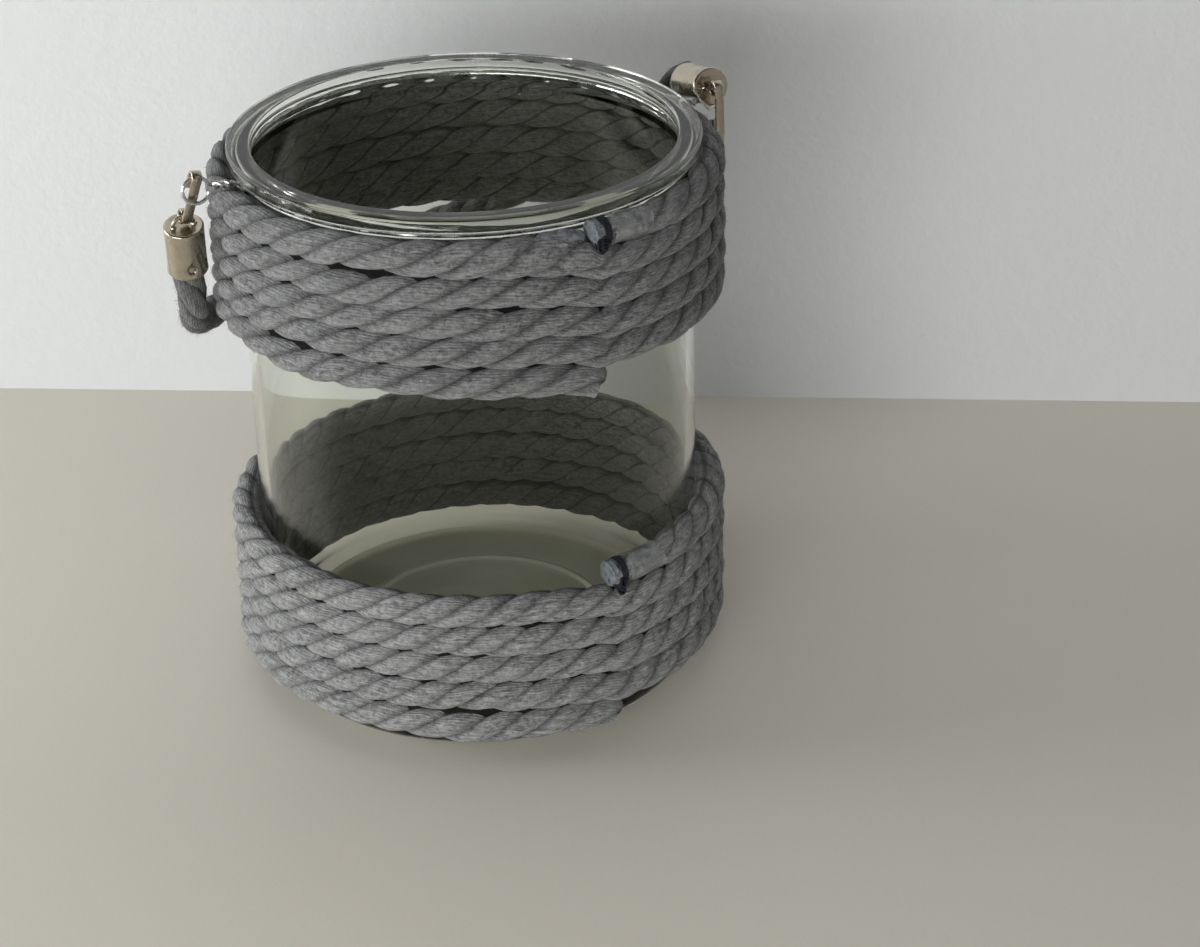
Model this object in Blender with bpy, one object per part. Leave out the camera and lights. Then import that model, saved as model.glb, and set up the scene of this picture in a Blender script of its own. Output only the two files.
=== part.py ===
"""A glass storage jar bound with rope, with a rope handle that swings over its mouth.

A pressed glass jar carries two windings of twisted cotton rope. A wire collar sits in the
groove under its lip, twisted into an eyelet at each side. A flat strip hook hangs in each
eyelet and curls round a wire bail on the end cap of the rope handle.
X runs through the two eyelets, Z is up, and the origin is the centre of the jar's base.
"""
from math import atan2, ceil, cos, degrees, pi, radians, sin, sqrt, tau

import bmesh
import bpy
from mathutils import Matrix, Vector

# Lengths are in metres. Each size is set once here, and the pieces below follow these values.
CLEARANCE = 0.0003
CUT_OVERRUN = 0.001
CUT_TURN = radians(7)

# Glass jar
JAR_HEIGHT = 0.178
BODY_RADIUS = 0.070
WALL = 0.0032
HEEL_RADIUS = 0.007
FLOOR_THICKNESS = 0.006
FLOOR_DOME = 0.0012
FLOOR_CORNER_RADIUS = 0.008
FLOOR_RING_SHARE = 0.586
FLOOR_RING_WIDTH = 0.0035
FLOOR_RING_HEIGHT = 0.0007
LIP_PAST_BODY = 0.0024
LIP_WIDTH = 0.0074
LIP_HEIGHT = 0.0044
LIP_ROUND = 0.0012
MOUTH_DEPTH = 0.0055
NECK_STEP = 0.0012
NECK_HEIGHT = 0.0045
SHOULDER_HEIGHT = 0.0035
JAR_SEGMENTS = 72

# Rope windings
ROPE_RADIUS = 0.0043
UPPER_TURN_GAP = 0.0007
LOWER_TURN_GAP = 0.00125
WINDING_TURNS = 5
POINTS_PER_TURN = 24
LOWER_WINDING_REST = 0.0043
UPPER_END_ANGLE = radians(-83)
LOWER_END_ANGLE = radians(-80)
UPPER_LIFT = 0.0052
LOWER_LIFT = 0.0042
LIFT_END_SHARE = 0.5
TOP_TURN_DROP = 0.0036

# Tape and thread round the top end of each winding
TAPE_WALL = 0.00025
TAPE_GAP = 0.0002
TAPE_LENGTH = 0.014
THREAD_WIDTH = 0.0026
THREAD_SETBACK = 0.0016
TAPE_SPACING = 0.0008
TAPER_LENGTH = 0.003

# Wire collar and its eyelets
WIRE_RADIUS = 0.0006
WIRE_TURN_OFF = radians(6)
COLLAR_DROP = 0.0004
TWIST_RISE = 0.0016
TWIST_START = 0.0022
TWIST_LENGTH = 0.005
EYELET_RADIUS = 0.0041
EYELET_OPENING = radians(22)
LEFT_EYELET_NECK = 0.0012
LEFT_EYELET_DROOP = radians(6)
LEFT_EYELET_TURN = 0
RIGHT_EYELET_NECK = 0.0047
RIGHT_EYELET_DROOP = radians(54)
RIGHT_EYELET_TURN = radians(31)

# Strip hooks
STRIP_WIDTH = 0.0031
STRIP_THICKNESS = 0.0008
HOOK_BEND_INNER = 0.0013
HOOK_EYE_INNER = 0.0016
HOOK_LENGTH = 0.0161
HOOK_RETURN = 0.0055
HOOK_EYE_SWEEP = radians(285)
LEFT_HOOK_LEAN = radians(8)
LEFT_HOOK_BACK = radians(26)
RIGHT_HOOK_TURN = radians(6)

# End caps and their bails
CAP_RADIUS = 0.0061
CAP_LENGTH = 0.017
CAP_WALL = 0.0007
CAP_FACE = 0.0012
CAP_ROUND = 0.0005
STAKE_RADIUS = 0.0012
STAKE_SETBACK = 0.0032
BAIL_RADIUS = 0.0032
BAIL_WIRE_RADIUS = 0.0006
BAIL_FOOT_PAST_FACE = 0.0008
LEFT_CAP_LEAN = radians(5)
LEFT_CAP_BACK = radians(16)
RIGHT_CAP_LEAN = radians(1)
RIGHT_CAP_DIP = radians(12)

# Rope handle: its ends lie in the caps, and its route hangs behind the jar
HANDLE_ROPE_RADIUS = 0.0048
HANDLE_POINT_SPACING = 0.016
ROPE_END_DEPTH = 0.012
ROPE_STRAIGHT = 0.005
# The free rope's route from the left cap to the right one: each place is given across, behind and
# above the swing's axis, as shares of the jar's body radius.
HANDLE_ROUTE_SHARES = (
    (-1.207, 0.214, -0.676),
    (-1.150, 0.429, -0.840),
    (-1.021, 0.693, -0.947),
    (-0.821, 0.943, -1.004),
    (-0.564, 1.129, -1.033),
    (-0.250, 1.240, -1.026),
    (0.086, 1.271, -0.983),
    (0.414, 1.207, -0.897),
    (0.707, 1.064, -0.769),
    (0.943, 0.871, -0.604),
    (1.107, 0.664, -0.419),
)

# Sizes and heights that several pieces share
LIP_RADIUS = BODY_RADIUS + LIP_PAST_BODY
MOUTH_RADIUS = LIP_RADIUS - LIP_WIDTH
NECK_RADIUS = BODY_RADIUS - NECK_STEP
FLOOR_RING_RADIUS = FLOOR_RING_SHARE * BODY_RADIUS
LIP_BOTTOM = JAR_HEIGHT - LIP_HEIGHT
UPPER_PITCH = 2 * ROPE_RADIUS + UPPER_TURN_GAP
LOWER_PITCH = 2 * ROPE_RADIUS + LOWER_TURN_GAP
WINDING_RADIUS = (BODY_RADIUS + CLEARANCE + ROPE_RADIUS) / cos(pi / POINTS_PER_TURN)
LOWER_WINDING_START = LOWER_WINDING_REST + ROPE_RADIUS
UPPER_WINDING_START = LIP_BOTTOM - TOP_TURN_DROP - WINDING_TURNS * UPPER_PITCH
COLLAR_RADIUS = NECK_RADIUS + CLEARANCE + WIRE_RADIUS
COLLAR_HEIGHT = LIP_BOTTOM - CLEARANCE - WIRE_RADIUS - COLLAR_DROP
TWIST_HEIGHT = COLLAR_HEIGHT + TWIST_RISE
TWIST_RADIUS = WIRE_RADIUS + CLEARANCE / 2
TWIST_START_X = LIP_RADIUS + TWIST_START
TWIST_END_X = TWIST_START_X + TWIST_LENGTH
BEND_RADIUS = HOOK_BEND_INNER + STRIP_THICKNESS / 2
EYE_RADIUS = HOOK_EYE_INNER + STRIP_THICKNESS / 2


def clear_scene():
    """Remove what the scene holds, so the script can be run again."""
    for item in list(bpy.data.objects):
        bpy.data.objects.remove(item, do_unlink=True)


def material(name, colour, roughness, metallic=0.0, alpha=1.0):
    """Make a plain Principled material."""
    made = bpy.data.materials.new(name)
    made.use_nodes = True
    shader = made.node_tree.nodes["Principled BSDF"]
    shader.inputs["Base Color"].default_value = (*colour, 1.0)
    shader.inputs["Roughness"].default_value = roughness
    shader.inputs["Metallic"].default_value = metallic
    shader.inputs["Alpha"].default_value = alpha
    return made


def link(name, data, finish, parent=None, matrix=None):
    """Put an object in the scene with its material, parent and place."""
    item = bpy.data.objects.new(name, data)
    bpy.context.scene.collection.objects.link(item)
    item.data.materials.append(finish)
    if parent is not None:
        item.parent = parent
        item.matrix_parent_inverse = parent.matrix_world.inverted()
    if matrix is not None:
        item.matrix_world = matrix
    return item


def pivot(name, place):
    """Make an empty on a joint's axis, to carry the pieces that turn about it."""
    empty = bpy.data.objects.new(name, None)
    bpy.context.scene.collection.objects.link(empty)
    empty.matrix_world = Matrix.Translation(place)
    empty.empty_display_size = CAP_RADIUS
    return empty


def arc(centre, radius, start, end, steps):
    """List points on an arc in a plane, both ends included."""
    for step in range(steps + 1):
        angle = start + (end - start) * step / steps
        yield (centre[0] + radius * cos(angle), centre[1] + radius * sin(angle))


def shade(mesh, angle=radians(35)):
    """Shade a mesh smooth but for its sharp edges."""
    mesh.shade_smooth()
    mesh.set_sharp_from_angle(angle=angle)


def turned(name, profile, segments):
    """Spin a closed profile of (radius, height) points about Z."""
    made = bmesh.new()
    points = [made.verts.new((radius, 0, height)) for radius, height in profile]
    edges = [made.edges.new(pair) for pair in zip(points, points[1:])]
    if profile[0][0] > 0:
        edges.append(made.edges.new((points[-1], points[0])))
    bmesh.ops.spin(made, geom=points + edges, cent=(0, 0, 0), axis=(0, 0, 1),
                   angle=tau, steps=segments, use_merge=True)
    bmesh.ops.remove_doubles(made, verts=made.verts, dist=CLEARANCE / 100)
    bmesh.ops.recalc_face_normals(made, faces=made.faces)
    mesh = bpy.data.meshes.new(name)
    made.to_mesh(mesh)
    made.free()
    shade(mesh)
    return mesh


def tube_curve(name, points, radius, resolution, shares=None):
    """Make a round tube with filled ends along points; shares scale its radius at each point."""
    curve = bpy.data.curves.new(name, "CURVE")
    curve.dimensions = "3D"
    curve.bevel_depth = radius
    curve.bevel_resolution = resolution
    curve.use_fill_caps = True
    curve.twist_mode = "MINIMUM"
    spline = curve.splines.new("POLY")
    spline.points.add(len(points) - 1)
    for index, place in enumerate(points):
        spline.points[index].co = (*place, 1.0)
        spline.points[index].radius = 1.0 if shares is None else shares[index]
    spline.use_smooth = True
    return curve


def sleeve_mesh(name, path, inner, outer, sides=20):
    """Sweep a hollow ring section along a path."""
    made = bmesh.new()
    rings = []
    up = Vector((0, 0, 1))
    for index, place in enumerate(path):
        before = path[max(index - 1, 0)]
        after = path[min(index + 1, len(path) - 1)]
        along = (after - before).normalized()
        across = along.cross(up).normalized()
        rise = across.cross(along)
        for radius in (outer, inner):
            ring = [made.verts.new(place + radius * (across * cos(turn) + rise * sin(turn)))
                    for turn in (tau * side / sides for side in range(sides))]
            rings.append(ring)
    outer_rings, inner_rings = rings[0::2], rings[1::2]
    pairs = list(zip(outer_rings, outer_rings[1:])) + list(zip(inner_rings, inner_rings[1:]))
    pairs += [(outer_rings[0], inner_rings[0]), (outer_rings[-1], inner_rings[-1])]
    for first, second in pairs:
        for side in range(sides):
            turn = (side + 1) % sides
            made.faces.new((first[side], first[turn], second[turn], second[side]))
    bmesh.ops.recalc_face_normals(made, faces=made.faces)
    mesh = bpy.data.meshes.new(name)
    made.to_mesh(mesh)
    made.free()
    shade(mesh)
    return mesh


def smooth_points(points, count):
    """Read points from a smooth curve through the given places, evenly spaced along it."""
    dense = []
    ends = [2 * points[0] - points[1]] + list(points) + [2 * points[-1] - points[-2]]
    for first, second, third, fourth in zip(ends, ends[1:], ends[2:], ends[3:]):
        for step in range(count):
            share = step / count
            dense.append(0.5 * (2 * second + share * (third - first)
                                + share ** 2 * (2 * first - 5 * second + 4 * third - fourth)
                                + share ** 3 * (3 * second - first - 3 * third + fourth)))
    return dense + [points[-1].copy()]


def resampled(points, spacing):
    """Pick points at an even spacing along a dense line, both ends included."""
    reach = [0.0]
    for before, after in zip(points, points[1:]):
        reach.append(reach[-1] + (after - before).length)
    steps = max(2, ceil(reach[-1] / spacing))
    picked = []
    index = 0
    for step in range(steps):
        wanted = reach[-1] * step / steps
        while reach[index + 1] < wanted:
            index += 1
        share = (wanted - reach[index]) / (reach[index + 1] - reach[index])
        picked.append(points[index].lerp(points[index + 1], share))
    return picked + [points[-1].copy()], reach[-1]


def eased(start, start_way, end, end_way, steps):
    """List points on a curve that leaves and arrives along given directions, ends left out."""
    pull = (end - start).length
    for step in range(1, steps):
        t = step / steps
        yield ((2 * t ** 3 - 3 * t ** 2 + 1) * start + (t ** 3 - 2 * t ** 2 + t) * pull * start_way
               + (3 * t ** 2 - 2 * t ** 3) * end + (t ** 3 - t ** 2) * pull * end_way)


def jar_profile():
    """Outline of the glass: the base and outer wall upwards, over the lip and down the inside."""
    inner = BODY_RADIUS - WALL
    neck_top = LIP_BOTTOM
    neck_bottom = neck_top - NECK_HEIGHT
    mouth_bottom = JAR_HEIGHT - MOUTH_DEPTH
    outline = [(0, 0)]
    outline += arc((BODY_RADIUS - HEEL_RADIUS, HEEL_RADIUS), HEEL_RADIUS, -pi / 2, 0, 6)
    outline += [(BODY_RADIUS, neck_bottom - SHOULDER_HEIGHT)]
    outline += [(NECK_RADIUS + (BODY_RADIUS - NECK_RADIUS) / 2, neck_bottom - SHOULDER_HEIGHT / 3)]
    outline += [(NECK_RADIUS, neck_bottom), (NECK_RADIUS, neck_top)]
    outline += arc((LIP_RADIUS - LIP_ROUND, neck_top + LIP_ROUND), LIP_ROUND, -pi / 2, 0, 3)
    outline += arc((LIP_RADIUS - LIP_ROUND, JAR_HEIGHT - LIP_ROUND), LIP_ROUND, 0, pi / 2, 4)
    outline += arc((MOUTH_RADIUS + LIP_ROUND, JAR_HEIGHT - LIP_ROUND), LIP_ROUND, pi / 2, pi, 4)
    outline += [(MOUTH_RADIUS, mouth_bottom), (inner, mouth_bottom - SHOULDER_HEIGHT)]
    corner = (inner - FLOOR_CORNER_RADIUS, FLOOR_THICKNESS + FLOOR_CORNER_RADIUS)
    outline += arc(corner, FLOOR_CORNER_RADIUS, 0, -pi / 2, 5)
    outline += [(FLOOR_RING_RADIUS + FLOOR_RING_WIDTH / 2, FLOOR_THICKNESS),
                (FLOOR_RING_RADIUS, FLOOR_THICKNESS + FLOOR_RING_HEIGHT),
                (FLOOR_RING_RADIUS - FLOOR_RING_WIDTH / 2, FLOOR_THICKNESS)]
    for share in (3 / 4, 1 / 2, 1 / 4, 0):
        radius = share * (FLOOR_RING_RADIUS - FLOOR_RING_WIDTH / 2)
        outline.append((radius, FLOOR_THICKNESS + FLOOR_DOME * (1 - share ** 2)))
    return outline


def winding_point(turns, form):
    """Place on a winding's centre line; it climbs clockwise, seen from above.

    Each turn climbs most where it passes over the turn's start, so the turns rise together there.
    """
    start_height, pitch, start_angle, lift = form
    angle = start_angle - tau * turns
    risen = min(1, turns % 1 / LIFT_END_SHARE)
    spread = lift * sin(pi * sqrt(risen))
    height = start_height + pitch * turns + spread
    return Vector((WINDING_RADIUS * cos(angle), WINDING_RADIUS * sin(angle), height))


def winding(name, form, finish):
    """Wind one rope round the jar; its top end is drawn in under the tape and the thread."""
    per_length = 1 / (tau * WINDING_RADIUS)
    bound = (THREAD_SETBACK + THREAD_WIDTH + TAPE_SPACING + TAPE_LENGTH) * per_length
    taper_start = WINDING_TURNS - bound - TAPER_LENGTH * per_length
    even = [step / POINTS_PER_TURN for step in range(WINDING_TURNS * POINTS_PER_TURN + 1)]
    kept = [turns for turns in even if turns < taper_start]
    places = kept + [taper_start] + [WINDING_TURNS - bound * step / 4 for step in range(4, -1, -1)]
    drawn_in_share = 1 - (TAPE_WALL + TAPE_GAP) / ROPE_RADIUS
    shares = [drawn_in_share if turns > taper_start else 1.0 for turns in places]
    points = [winding_point(turns, form) for turns in places]
    rope = link(name, tube_curve(name, points, ROPE_RADIUS, 1, shares), finish)
    apart = [(first - second).length for index, first in enumerate(points)
             for second in points[index + POINTS_PER_TURN // 2:]]
    print(f"{name}: least gap to itself {1000 * (min(apart) - 2 * ROPE_RADIUS):.2f} mm")
    return rope


def end_binding(prefix, form, tape_finish, thread_finish):
    """Clear tape and a dark thread round a winding's top end, over the drawn-in rope."""
    per_length = 1 / (tau * WINDING_RADIUS)
    inner = ROPE_RADIUS - TAPE_WALL
    pieces = (("end_thread", THREAD_SETBACK, THREAD_WIDTH, thread_finish),
              ("end_tape", THREAD_SETBACK + THREAD_WIDTH + TAPE_SPACING, TAPE_LENGTH, tape_finish))
    for kind, setback, width, finish in pieces:
        name = f"{prefix}_{kind}"
        steps = 5
        path = [winding_point(WINDING_TURNS - (setback + width * step / steps) * per_length, form)
                for step in range(steps + 1)]
        link(name, sleeve_mesh(name, path, inner, ROPE_RADIUS), finish)


def eyelet_centre(neck, droop):
    """Centre of an eyelet's ring on the +X side."""
    reach = EYELET_RADIUS + neck
    return Vector((TWIST_END_X + reach * cos(droop), 0, TWIST_HEIGHT - reach * sin(droop)))


def eyelet_point(neck, droop, turn, angle):
    """Point on an eyelet's ring; angle 0 is where it meets its neck, and turn is about the neck."""
    back = Vector((-cos(droop), 0, sin(droop)))
    side = Vector((sin(droop) * cos(turn), sin(turn), cos(droop) * cos(turn)))
    return eyelet_centre(neck, droop) + EYELET_RADIUS * (cos(angle) * back + sin(angle) * side)


def collar_wire_points(neck, droop, turn):
    """Path of one collar wire: a tail at -X, the half ring past -Y, a twist and an eyelet at +X."""
    def twist(side, share):
        wound = pi + side * tau * share
        return Vector((side * (TWIST_START_X + TWIST_LENGTH * share),
                       TWIST_RADIUS * cos(wound), TWIST_HEIGHT + TWIST_RADIUS * sin(wound)))

    # The tail is wound the other way, so it lies opposite its partner's head all along.
    tail = [twist(-1, 1 - step / 12) for step in range(13)]
    head = [twist(1, step / 12) for step in range(13)]
    ring_start_angle = -pi + WIRE_TURN_OFF
    ring_end_angle = -WIRE_TURN_OFF
    steps = 36
    half_ring = []
    for step in range(steps + 1):
        angle = ring_start_angle + (ring_end_angle - ring_start_angle) * step / steps
        half_ring.append(Vector((COLLAR_RADIUS * cos(angle), COLLAR_RADIUS * sin(angle), COLLAR_HEIGHT)))
    start_way = Vector((-sin(ring_start_angle), cos(ring_start_angle), 0))
    end_way = Vector((-sin(ring_end_angle), cos(ring_end_angle), 0))
    outward = Vector((1, 0, 0))
    into_ring = list(eased(tail[-1], outward, half_ring[0], start_way, 8))
    out_of_ring = list(eased(half_ring[-1], end_way, head[0], outward, 8))
    # Both stay level under the lip, and rise only outside it.
    for place, share in zip(into_ring + out_of_ring, 2 * [step / 8 for step in range(1, 8)]):
        outside = share if place.x > 0 else 1 - share
        rise = max(0, 2 * outside - 1)
        twist_end = head[0] if place.x > 0 else tail[-1]
        place.z = COLLAR_HEIGHT + (twist_end.z - COLLAR_HEIGHT) * rise ** 2 * (3 - 2 * rise)
    eyelet = []
    for step in range(27):
        angle = EYELET_OPENING + (tau - 2 * EYELET_OPENING) * step / 26
        eyelet.append(eyelet_point(neck, droop, turn, angle))
    eyelet_way = (eyelet[1] - eyelet[0]).normalized()
    join = list(eased(head[-1], outward, eyelet[0], eyelet_way, 6))
    return tail + into_ring + half_ring + out_of_ring + head[1:] + join + eyelet


def collar_wire(name, neck, droop, turn, half_turn, finish):
    """One of the two wires; the second is made like the first and turned half round."""
    spin = Matrix.Rotation(half_turn, 3, "Z")
    points = [spin @ place for place in collar_wire_points(neck, droop, turn)]
    return link(name, tube_curve(name, points, WIRE_RADIUS, 2), finish)


def strip_mesh(name):
    """A hook of flat strip: an eye about the origin, a leg along +Z and a return bend at its end."""
    line = list(arc((0, 0), EYE_RADIUS, pi + HOOK_EYE_SWEEP, pi, 14))
    line += arc((0, HOOK_LENGTH), BEND_RADIUS, pi, 0, 9)
    line += [(BEND_RADIUS, HOOK_LENGTH - HOOK_RETURN)]
    left_side, right_side = [], []
    for index, place in enumerate(line):
        before = Vector(line[max(index - 1, 0)])
        after = Vector(line[min(index + 1, len(line) - 1)])
        way = (after - before).normalized()
        normal = Vector((-way.y, way.x)) * STRIP_THICKNESS / 2
        left_side.append(Vector(place) + normal)
        right_side.append(Vector(place) - normal)
    made = bmesh.new()
    half = STRIP_WIDTH / 2
    columns = []
    for near, far in zip(left_side, right_side):
        columns.append([made.verts.new((side, point.x, point.y))
                        for side, point in ((-half, near), (half, near), (half, far), (-half, far))])
    for first, second in zip(columns, columns[1:]):
        for corner in range(4):
            turn = (corner + 1) % 4
            made.faces.new((first[corner], first[turn], second[turn], second[corner]))
    made.faces.new(columns[0])
    made.faces.new(columns[-1])
    bmesh.ops.recalc_face_normals(made, faces=made.faces)
    mesh = bpy.data.meshes.new(name)
    made.to_mesh(mesh)
    made.free()
    shade(mesh)
    return mesh


def frame_along(axis, across, origin):
    """Matrix whose Z is the given axis and whose X lies nearest to across."""
    up = axis.normalized()
    side = (across - across.dot(up) * up).normalized()
    depth = up.cross(side)
    turn = Matrix((side, depth, up)).transposed()
    return Matrix.Translation(origin) @ turn.to_4x4()


def leaning(outward_sign, lean, back):
    """Downward direction that leans sideways by lean and backwards by back."""
    return Vector((outward_sign * sin(lean), cos(lean) * sin(back), -cos(lean) * cos(back)))


def cap_mesh(name):
    """A drawn metal cup, face up at the origin and mouth down, with feet holes and a stake hole."""
    bore = CAP_RADIUS - CAP_WALL
    outline = [(0, 0)]
    outline += arc((CAP_RADIUS - CAP_ROUND, -CAP_ROUND), CAP_ROUND, pi / 2, 0, 3)
    outline += [(CAP_RADIUS, -CAP_LENGTH), (bore, -CAP_LENGTH), (bore, -CAP_FACE), (0, -CAP_FACE)]
    return turned(name, outline, 32)


def cutter(name, radius, length, matrix):
    """A hidden cylinder for a Boolean cut, turned so that its corners miss the cut piece's edges."""
    made = bmesh.new()
    bmesh.ops.create_cone(made, cap_ends=True, segments=16, radius1=radius, radius2=radius, depth=length)
    mesh = bpy.data.meshes.new(name)
    made.to_mesh(mesh)
    made.free()
    item = bpy.data.objects.new(name, mesh)
    bpy.context.scene.collection.objects.link(item)
    item.matrix_world = matrix @ Matrix.Rotation(CUT_TURN, 4, "Z")
    item.hide_render = True
    item.display_type = "WIRE"
    return item


def end_cap(prefix, place, parent, finish, wire_finish):
    """A cap with its bail: place maps the cap's own frame, face up at its origin, to the world."""
    cap = link(f"{prefix}_cap", cap_mesh(f"{prefix}_cap"), finish, parent, place)
    foot_radius = BAIL_WIRE_RADIUS + CLEARANCE
    depth = 2 * (CAP_FACE + CUT_OVERRUN)
    for side in (-1, 1):
        spot = place @ Matrix.Translation((side * BAIL_RADIUS, 0, 0))
        hole = cutter(f"{prefix}_foot_cut_{side}", foot_radius, depth, spot)
        cut = cap.modifiers.new("foot", "BOOLEAN")
        cut.object = hole
    stake_spot = Matrix.Translation((0, -CAP_RADIUS, STAKE_SETBACK - CAP_LENGTH))
    stake_turn = Matrix.Rotation(pi / 2, 4, "X")
    stake = cutter(f"{prefix}_stake_cut", STAKE_RADIUS, 2 * CAP_WALL + 2 * CUT_OVERRUN,
                   place @ stake_spot @ stake_turn)
    cut = cap.modifiers.new("stake", "BOOLEAN")
    cut.object = stake
    foot_end = -(CAP_FACE + BAIL_FOOT_PAST_FACE)
    bend = [Vector((x, 0, z)) for x, z in arc((0, 0), BAIL_RADIUS, pi, 0, 14)]
    bail = [Vector((-BAIL_RADIUS, 0, foot_end))] + bend + [Vector((BAIL_RADIUS, 0, foot_end))]
    link(f"{prefix}_bail", tube_curve(f"{prefix}_bail", bail, BAIL_WIRE_RADIUS, 2),
         wire_finish, parent, place)
    return cap


def handle_points(left_place, right_place, swing_centre):
    """The rope's centre line, from inside the left cap round the back into the right cap."""
    def in_cap(place, depth):
        return place @ Vector((0, 0, -depth))

    starts = [in_cap(left_place, CAP_LENGTH - ROPE_END_DEPTH), in_cap(left_place, CAP_LENGTH),
              in_cap(left_place, CAP_LENGTH + ROPE_STRAIGHT)]
    ends = [in_cap(right_place, CAP_LENGTH + ROPE_STRAIGHT), in_cap(right_place, CAP_LENGTH),
            in_cap(right_place, CAP_LENGTH - ROPE_END_DEPTH)]
    free = [swing_centre + BODY_RADIUS * Vector(shares) for shares in HANDLE_ROUTE_SHARES]
    dense = smooth_points(starts[1:] + free + ends[:-1], 12)
    picked, length = resampled(dense, HANDLE_POINT_SPACING)
    picked = [starts[0]] + picked + [ends[-1]]
    print(f"handle_rope: {1000 * length:.1f} mm free, {1000 * (length + 2 * ROPE_END_DEPTH):.1f} mm in all")
    return picked


def build():
    """Make every piece."""
    clear_scene()
    glass = material("clear_glass", (0.82, 0.88, 0.84), 0.03, alpha=0.35)
    rope = material("grey_cotton_rope", (0.24, 0.24, 0.245), 0.95)
    steel = material("bright_wire", (0.72, 0.72, 0.70), 0.22, 1.0)
    nickel = material("champagne_nickel", (0.66, 0.58, 0.47), 0.24, 1.0)
    tape = material("clear_tape", (0.55, 0.56, 0.54), 0.25, alpha=0.6)
    thread = material("dark_thread", (0.02, 0.025, 0.04), 0.8)

    link("glass_jar", turned("glass_jar", jar_profile(), JAR_SEGMENTS), glass)
    # Each form is a start height, a rise per turn, a start angle and how far a turn is lifted.
    forms = (("upper", (UPPER_WINDING_START, UPPER_PITCH, UPPER_END_ANGLE, UPPER_LIFT)),
             ("lower", (LOWER_WINDING_START, LOWER_PITCH, LOWER_END_ANGLE, LOWER_LIFT)))
    for prefix, form in forms:
        winding(f"{prefix}_winding", form, rope)
        end_binding(prefix, form, tape, thread)
    left_eyelet = (LEFT_EYELET_NECK, LEFT_EYELET_DROOP)
    right_eyelet = (RIGHT_EYELET_NECK, RIGHT_EYELET_DROOP)
    collar_wire("collar_front_wire", *right_eyelet, RIGHT_EYELET_TURN, 0, steel)
    collar_wire("collar_back_wire", *left_eyelet, LEFT_EYELET_TURN, pi, steel)

    # The left hook hangs over its ring's top wire, and the right bail lies level with it:
    # the line through both along X is the axis about which the handle swings.
    left_ring = eyelet_centre(*left_eyelet)
    left_seat = Vector((-left_ring.x, 0, left_ring.z + EYELET_RADIUS))
    left_down = leaning(-1, LEFT_HOOK_LEAN, LEFT_HOOK_BACK)
    left_eye = left_seat + HOOK_LENGTH * left_down
    # The right ring's lowest point lies in the hook's lower bend, under the eye.
    around = [eyelet_point(*right_eyelet, RIGHT_EYELET_TURN, radians(step)) for step in range(360)]
    right_low = min(around, key=lambda place: place.z)
    right_eye = Vector((right_low.x, 0, left_seat.z))
    right_up = (right_eye - right_low).normalized()
    across = Vector((1, 0, 0))

    left_axis = leaning(1, LEFT_CAP_LEAN, LEFT_CAP_BACK)
    slide = LEFT_HOOK_LEAN + LEFT_CAP_LEAN
    left_turn = frame_along(-left_axis, across, Vector((0, 0, 0)))
    on_bail = left_turn @ (BAIL_RADIUS * Vector((sin(slide), 0, cos(slide))))
    left_place = Matrix.Translation(left_eye - on_bail) @ left_turn
    right_axis = Vector((-sin(RIGHT_CAP_LEAN), cos(RIGHT_CAP_LEAN) * cos(RIGHT_CAP_DIP),
                         -cos(RIGHT_CAP_LEAN) * sin(RIGHT_CAP_DIP)))
    right_turn = frame_along(-right_axis, across, Vector((0, 0, 0)))
    right_place = Matrix.Translation(right_eye + BAIL_RADIUS * right_axis) @ right_turn

    handle_pivot = pivot("handle_pivot", Vector((0, 0, left_seat.z)))
    left_end_pivot = pivot("left_end_pivot", left_seat)
    right_end_pivot = pivot("right_end_pivot", right_eye)
    end_cap("left", left_place, left_end_pivot, nickel, nickel)
    end_cap("right", right_place, right_end_pivot, nickel, nickel)
    # Each hook's own origin is its eye, on the bail, where it pivots.
    link("left_hook", strip_mesh("left_hook"), nickel, left_end_pivot,
         frame_along(-left_down, across, left_eye))
    right_across = Vector((-cos(RIGHT_HOOK_TURN), -sin(RIGHT_HOOK_TURN), 0))
    link("right_hook", strip_mesh("right_hook"), nickel, right_end_pivot,
         frame_along(-right_up, right_across, right_eye))
    cap_mouth = Vector((0, 0, -CAP_LENGTH))
    points = handle_points(left_place, right_place, Vector((0, 0, left_seat.z)))
    link("handle_rope", tube_curve("handle_rope", points, HANDLE_ROPE_RADIUS, 2), rope, handle_pivot)

    # The places and rest angles that the joints are set from.
    middle = min(points, key=lambda place: abs(place.x))
    ways = (left_axis, right_axis, middle - left_seat)
    print("angles of the caps and the rope's middle:", [round(degrees(atan2(way.z, way.y)), 2) for way in ways])
    for name, place in (("left seat", left_seat), ("left eye", left_eye), ("right eye", right_eye),
                        ("right ring low", right_low), ("left cap mouth", left_place @ cap_mouth),
                        ("right cap mouth", right_place @ cap_mouth)):
        print(name, [round(value, 6) for value in place])


build()
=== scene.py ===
"""Looks of the rope-bound glass jar: its glass, ropes, wire, hooks, caps and the studio round it."""

from math import cos, exp, pi, radians, sin, sqrt, tau
from random import Random

import bmesh
import bpy
from bpy.props import FloatProperty, FloatVectorProperty, IntProperty, PointerProperty
from mathutils import Matrix, Vector, noise


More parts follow.
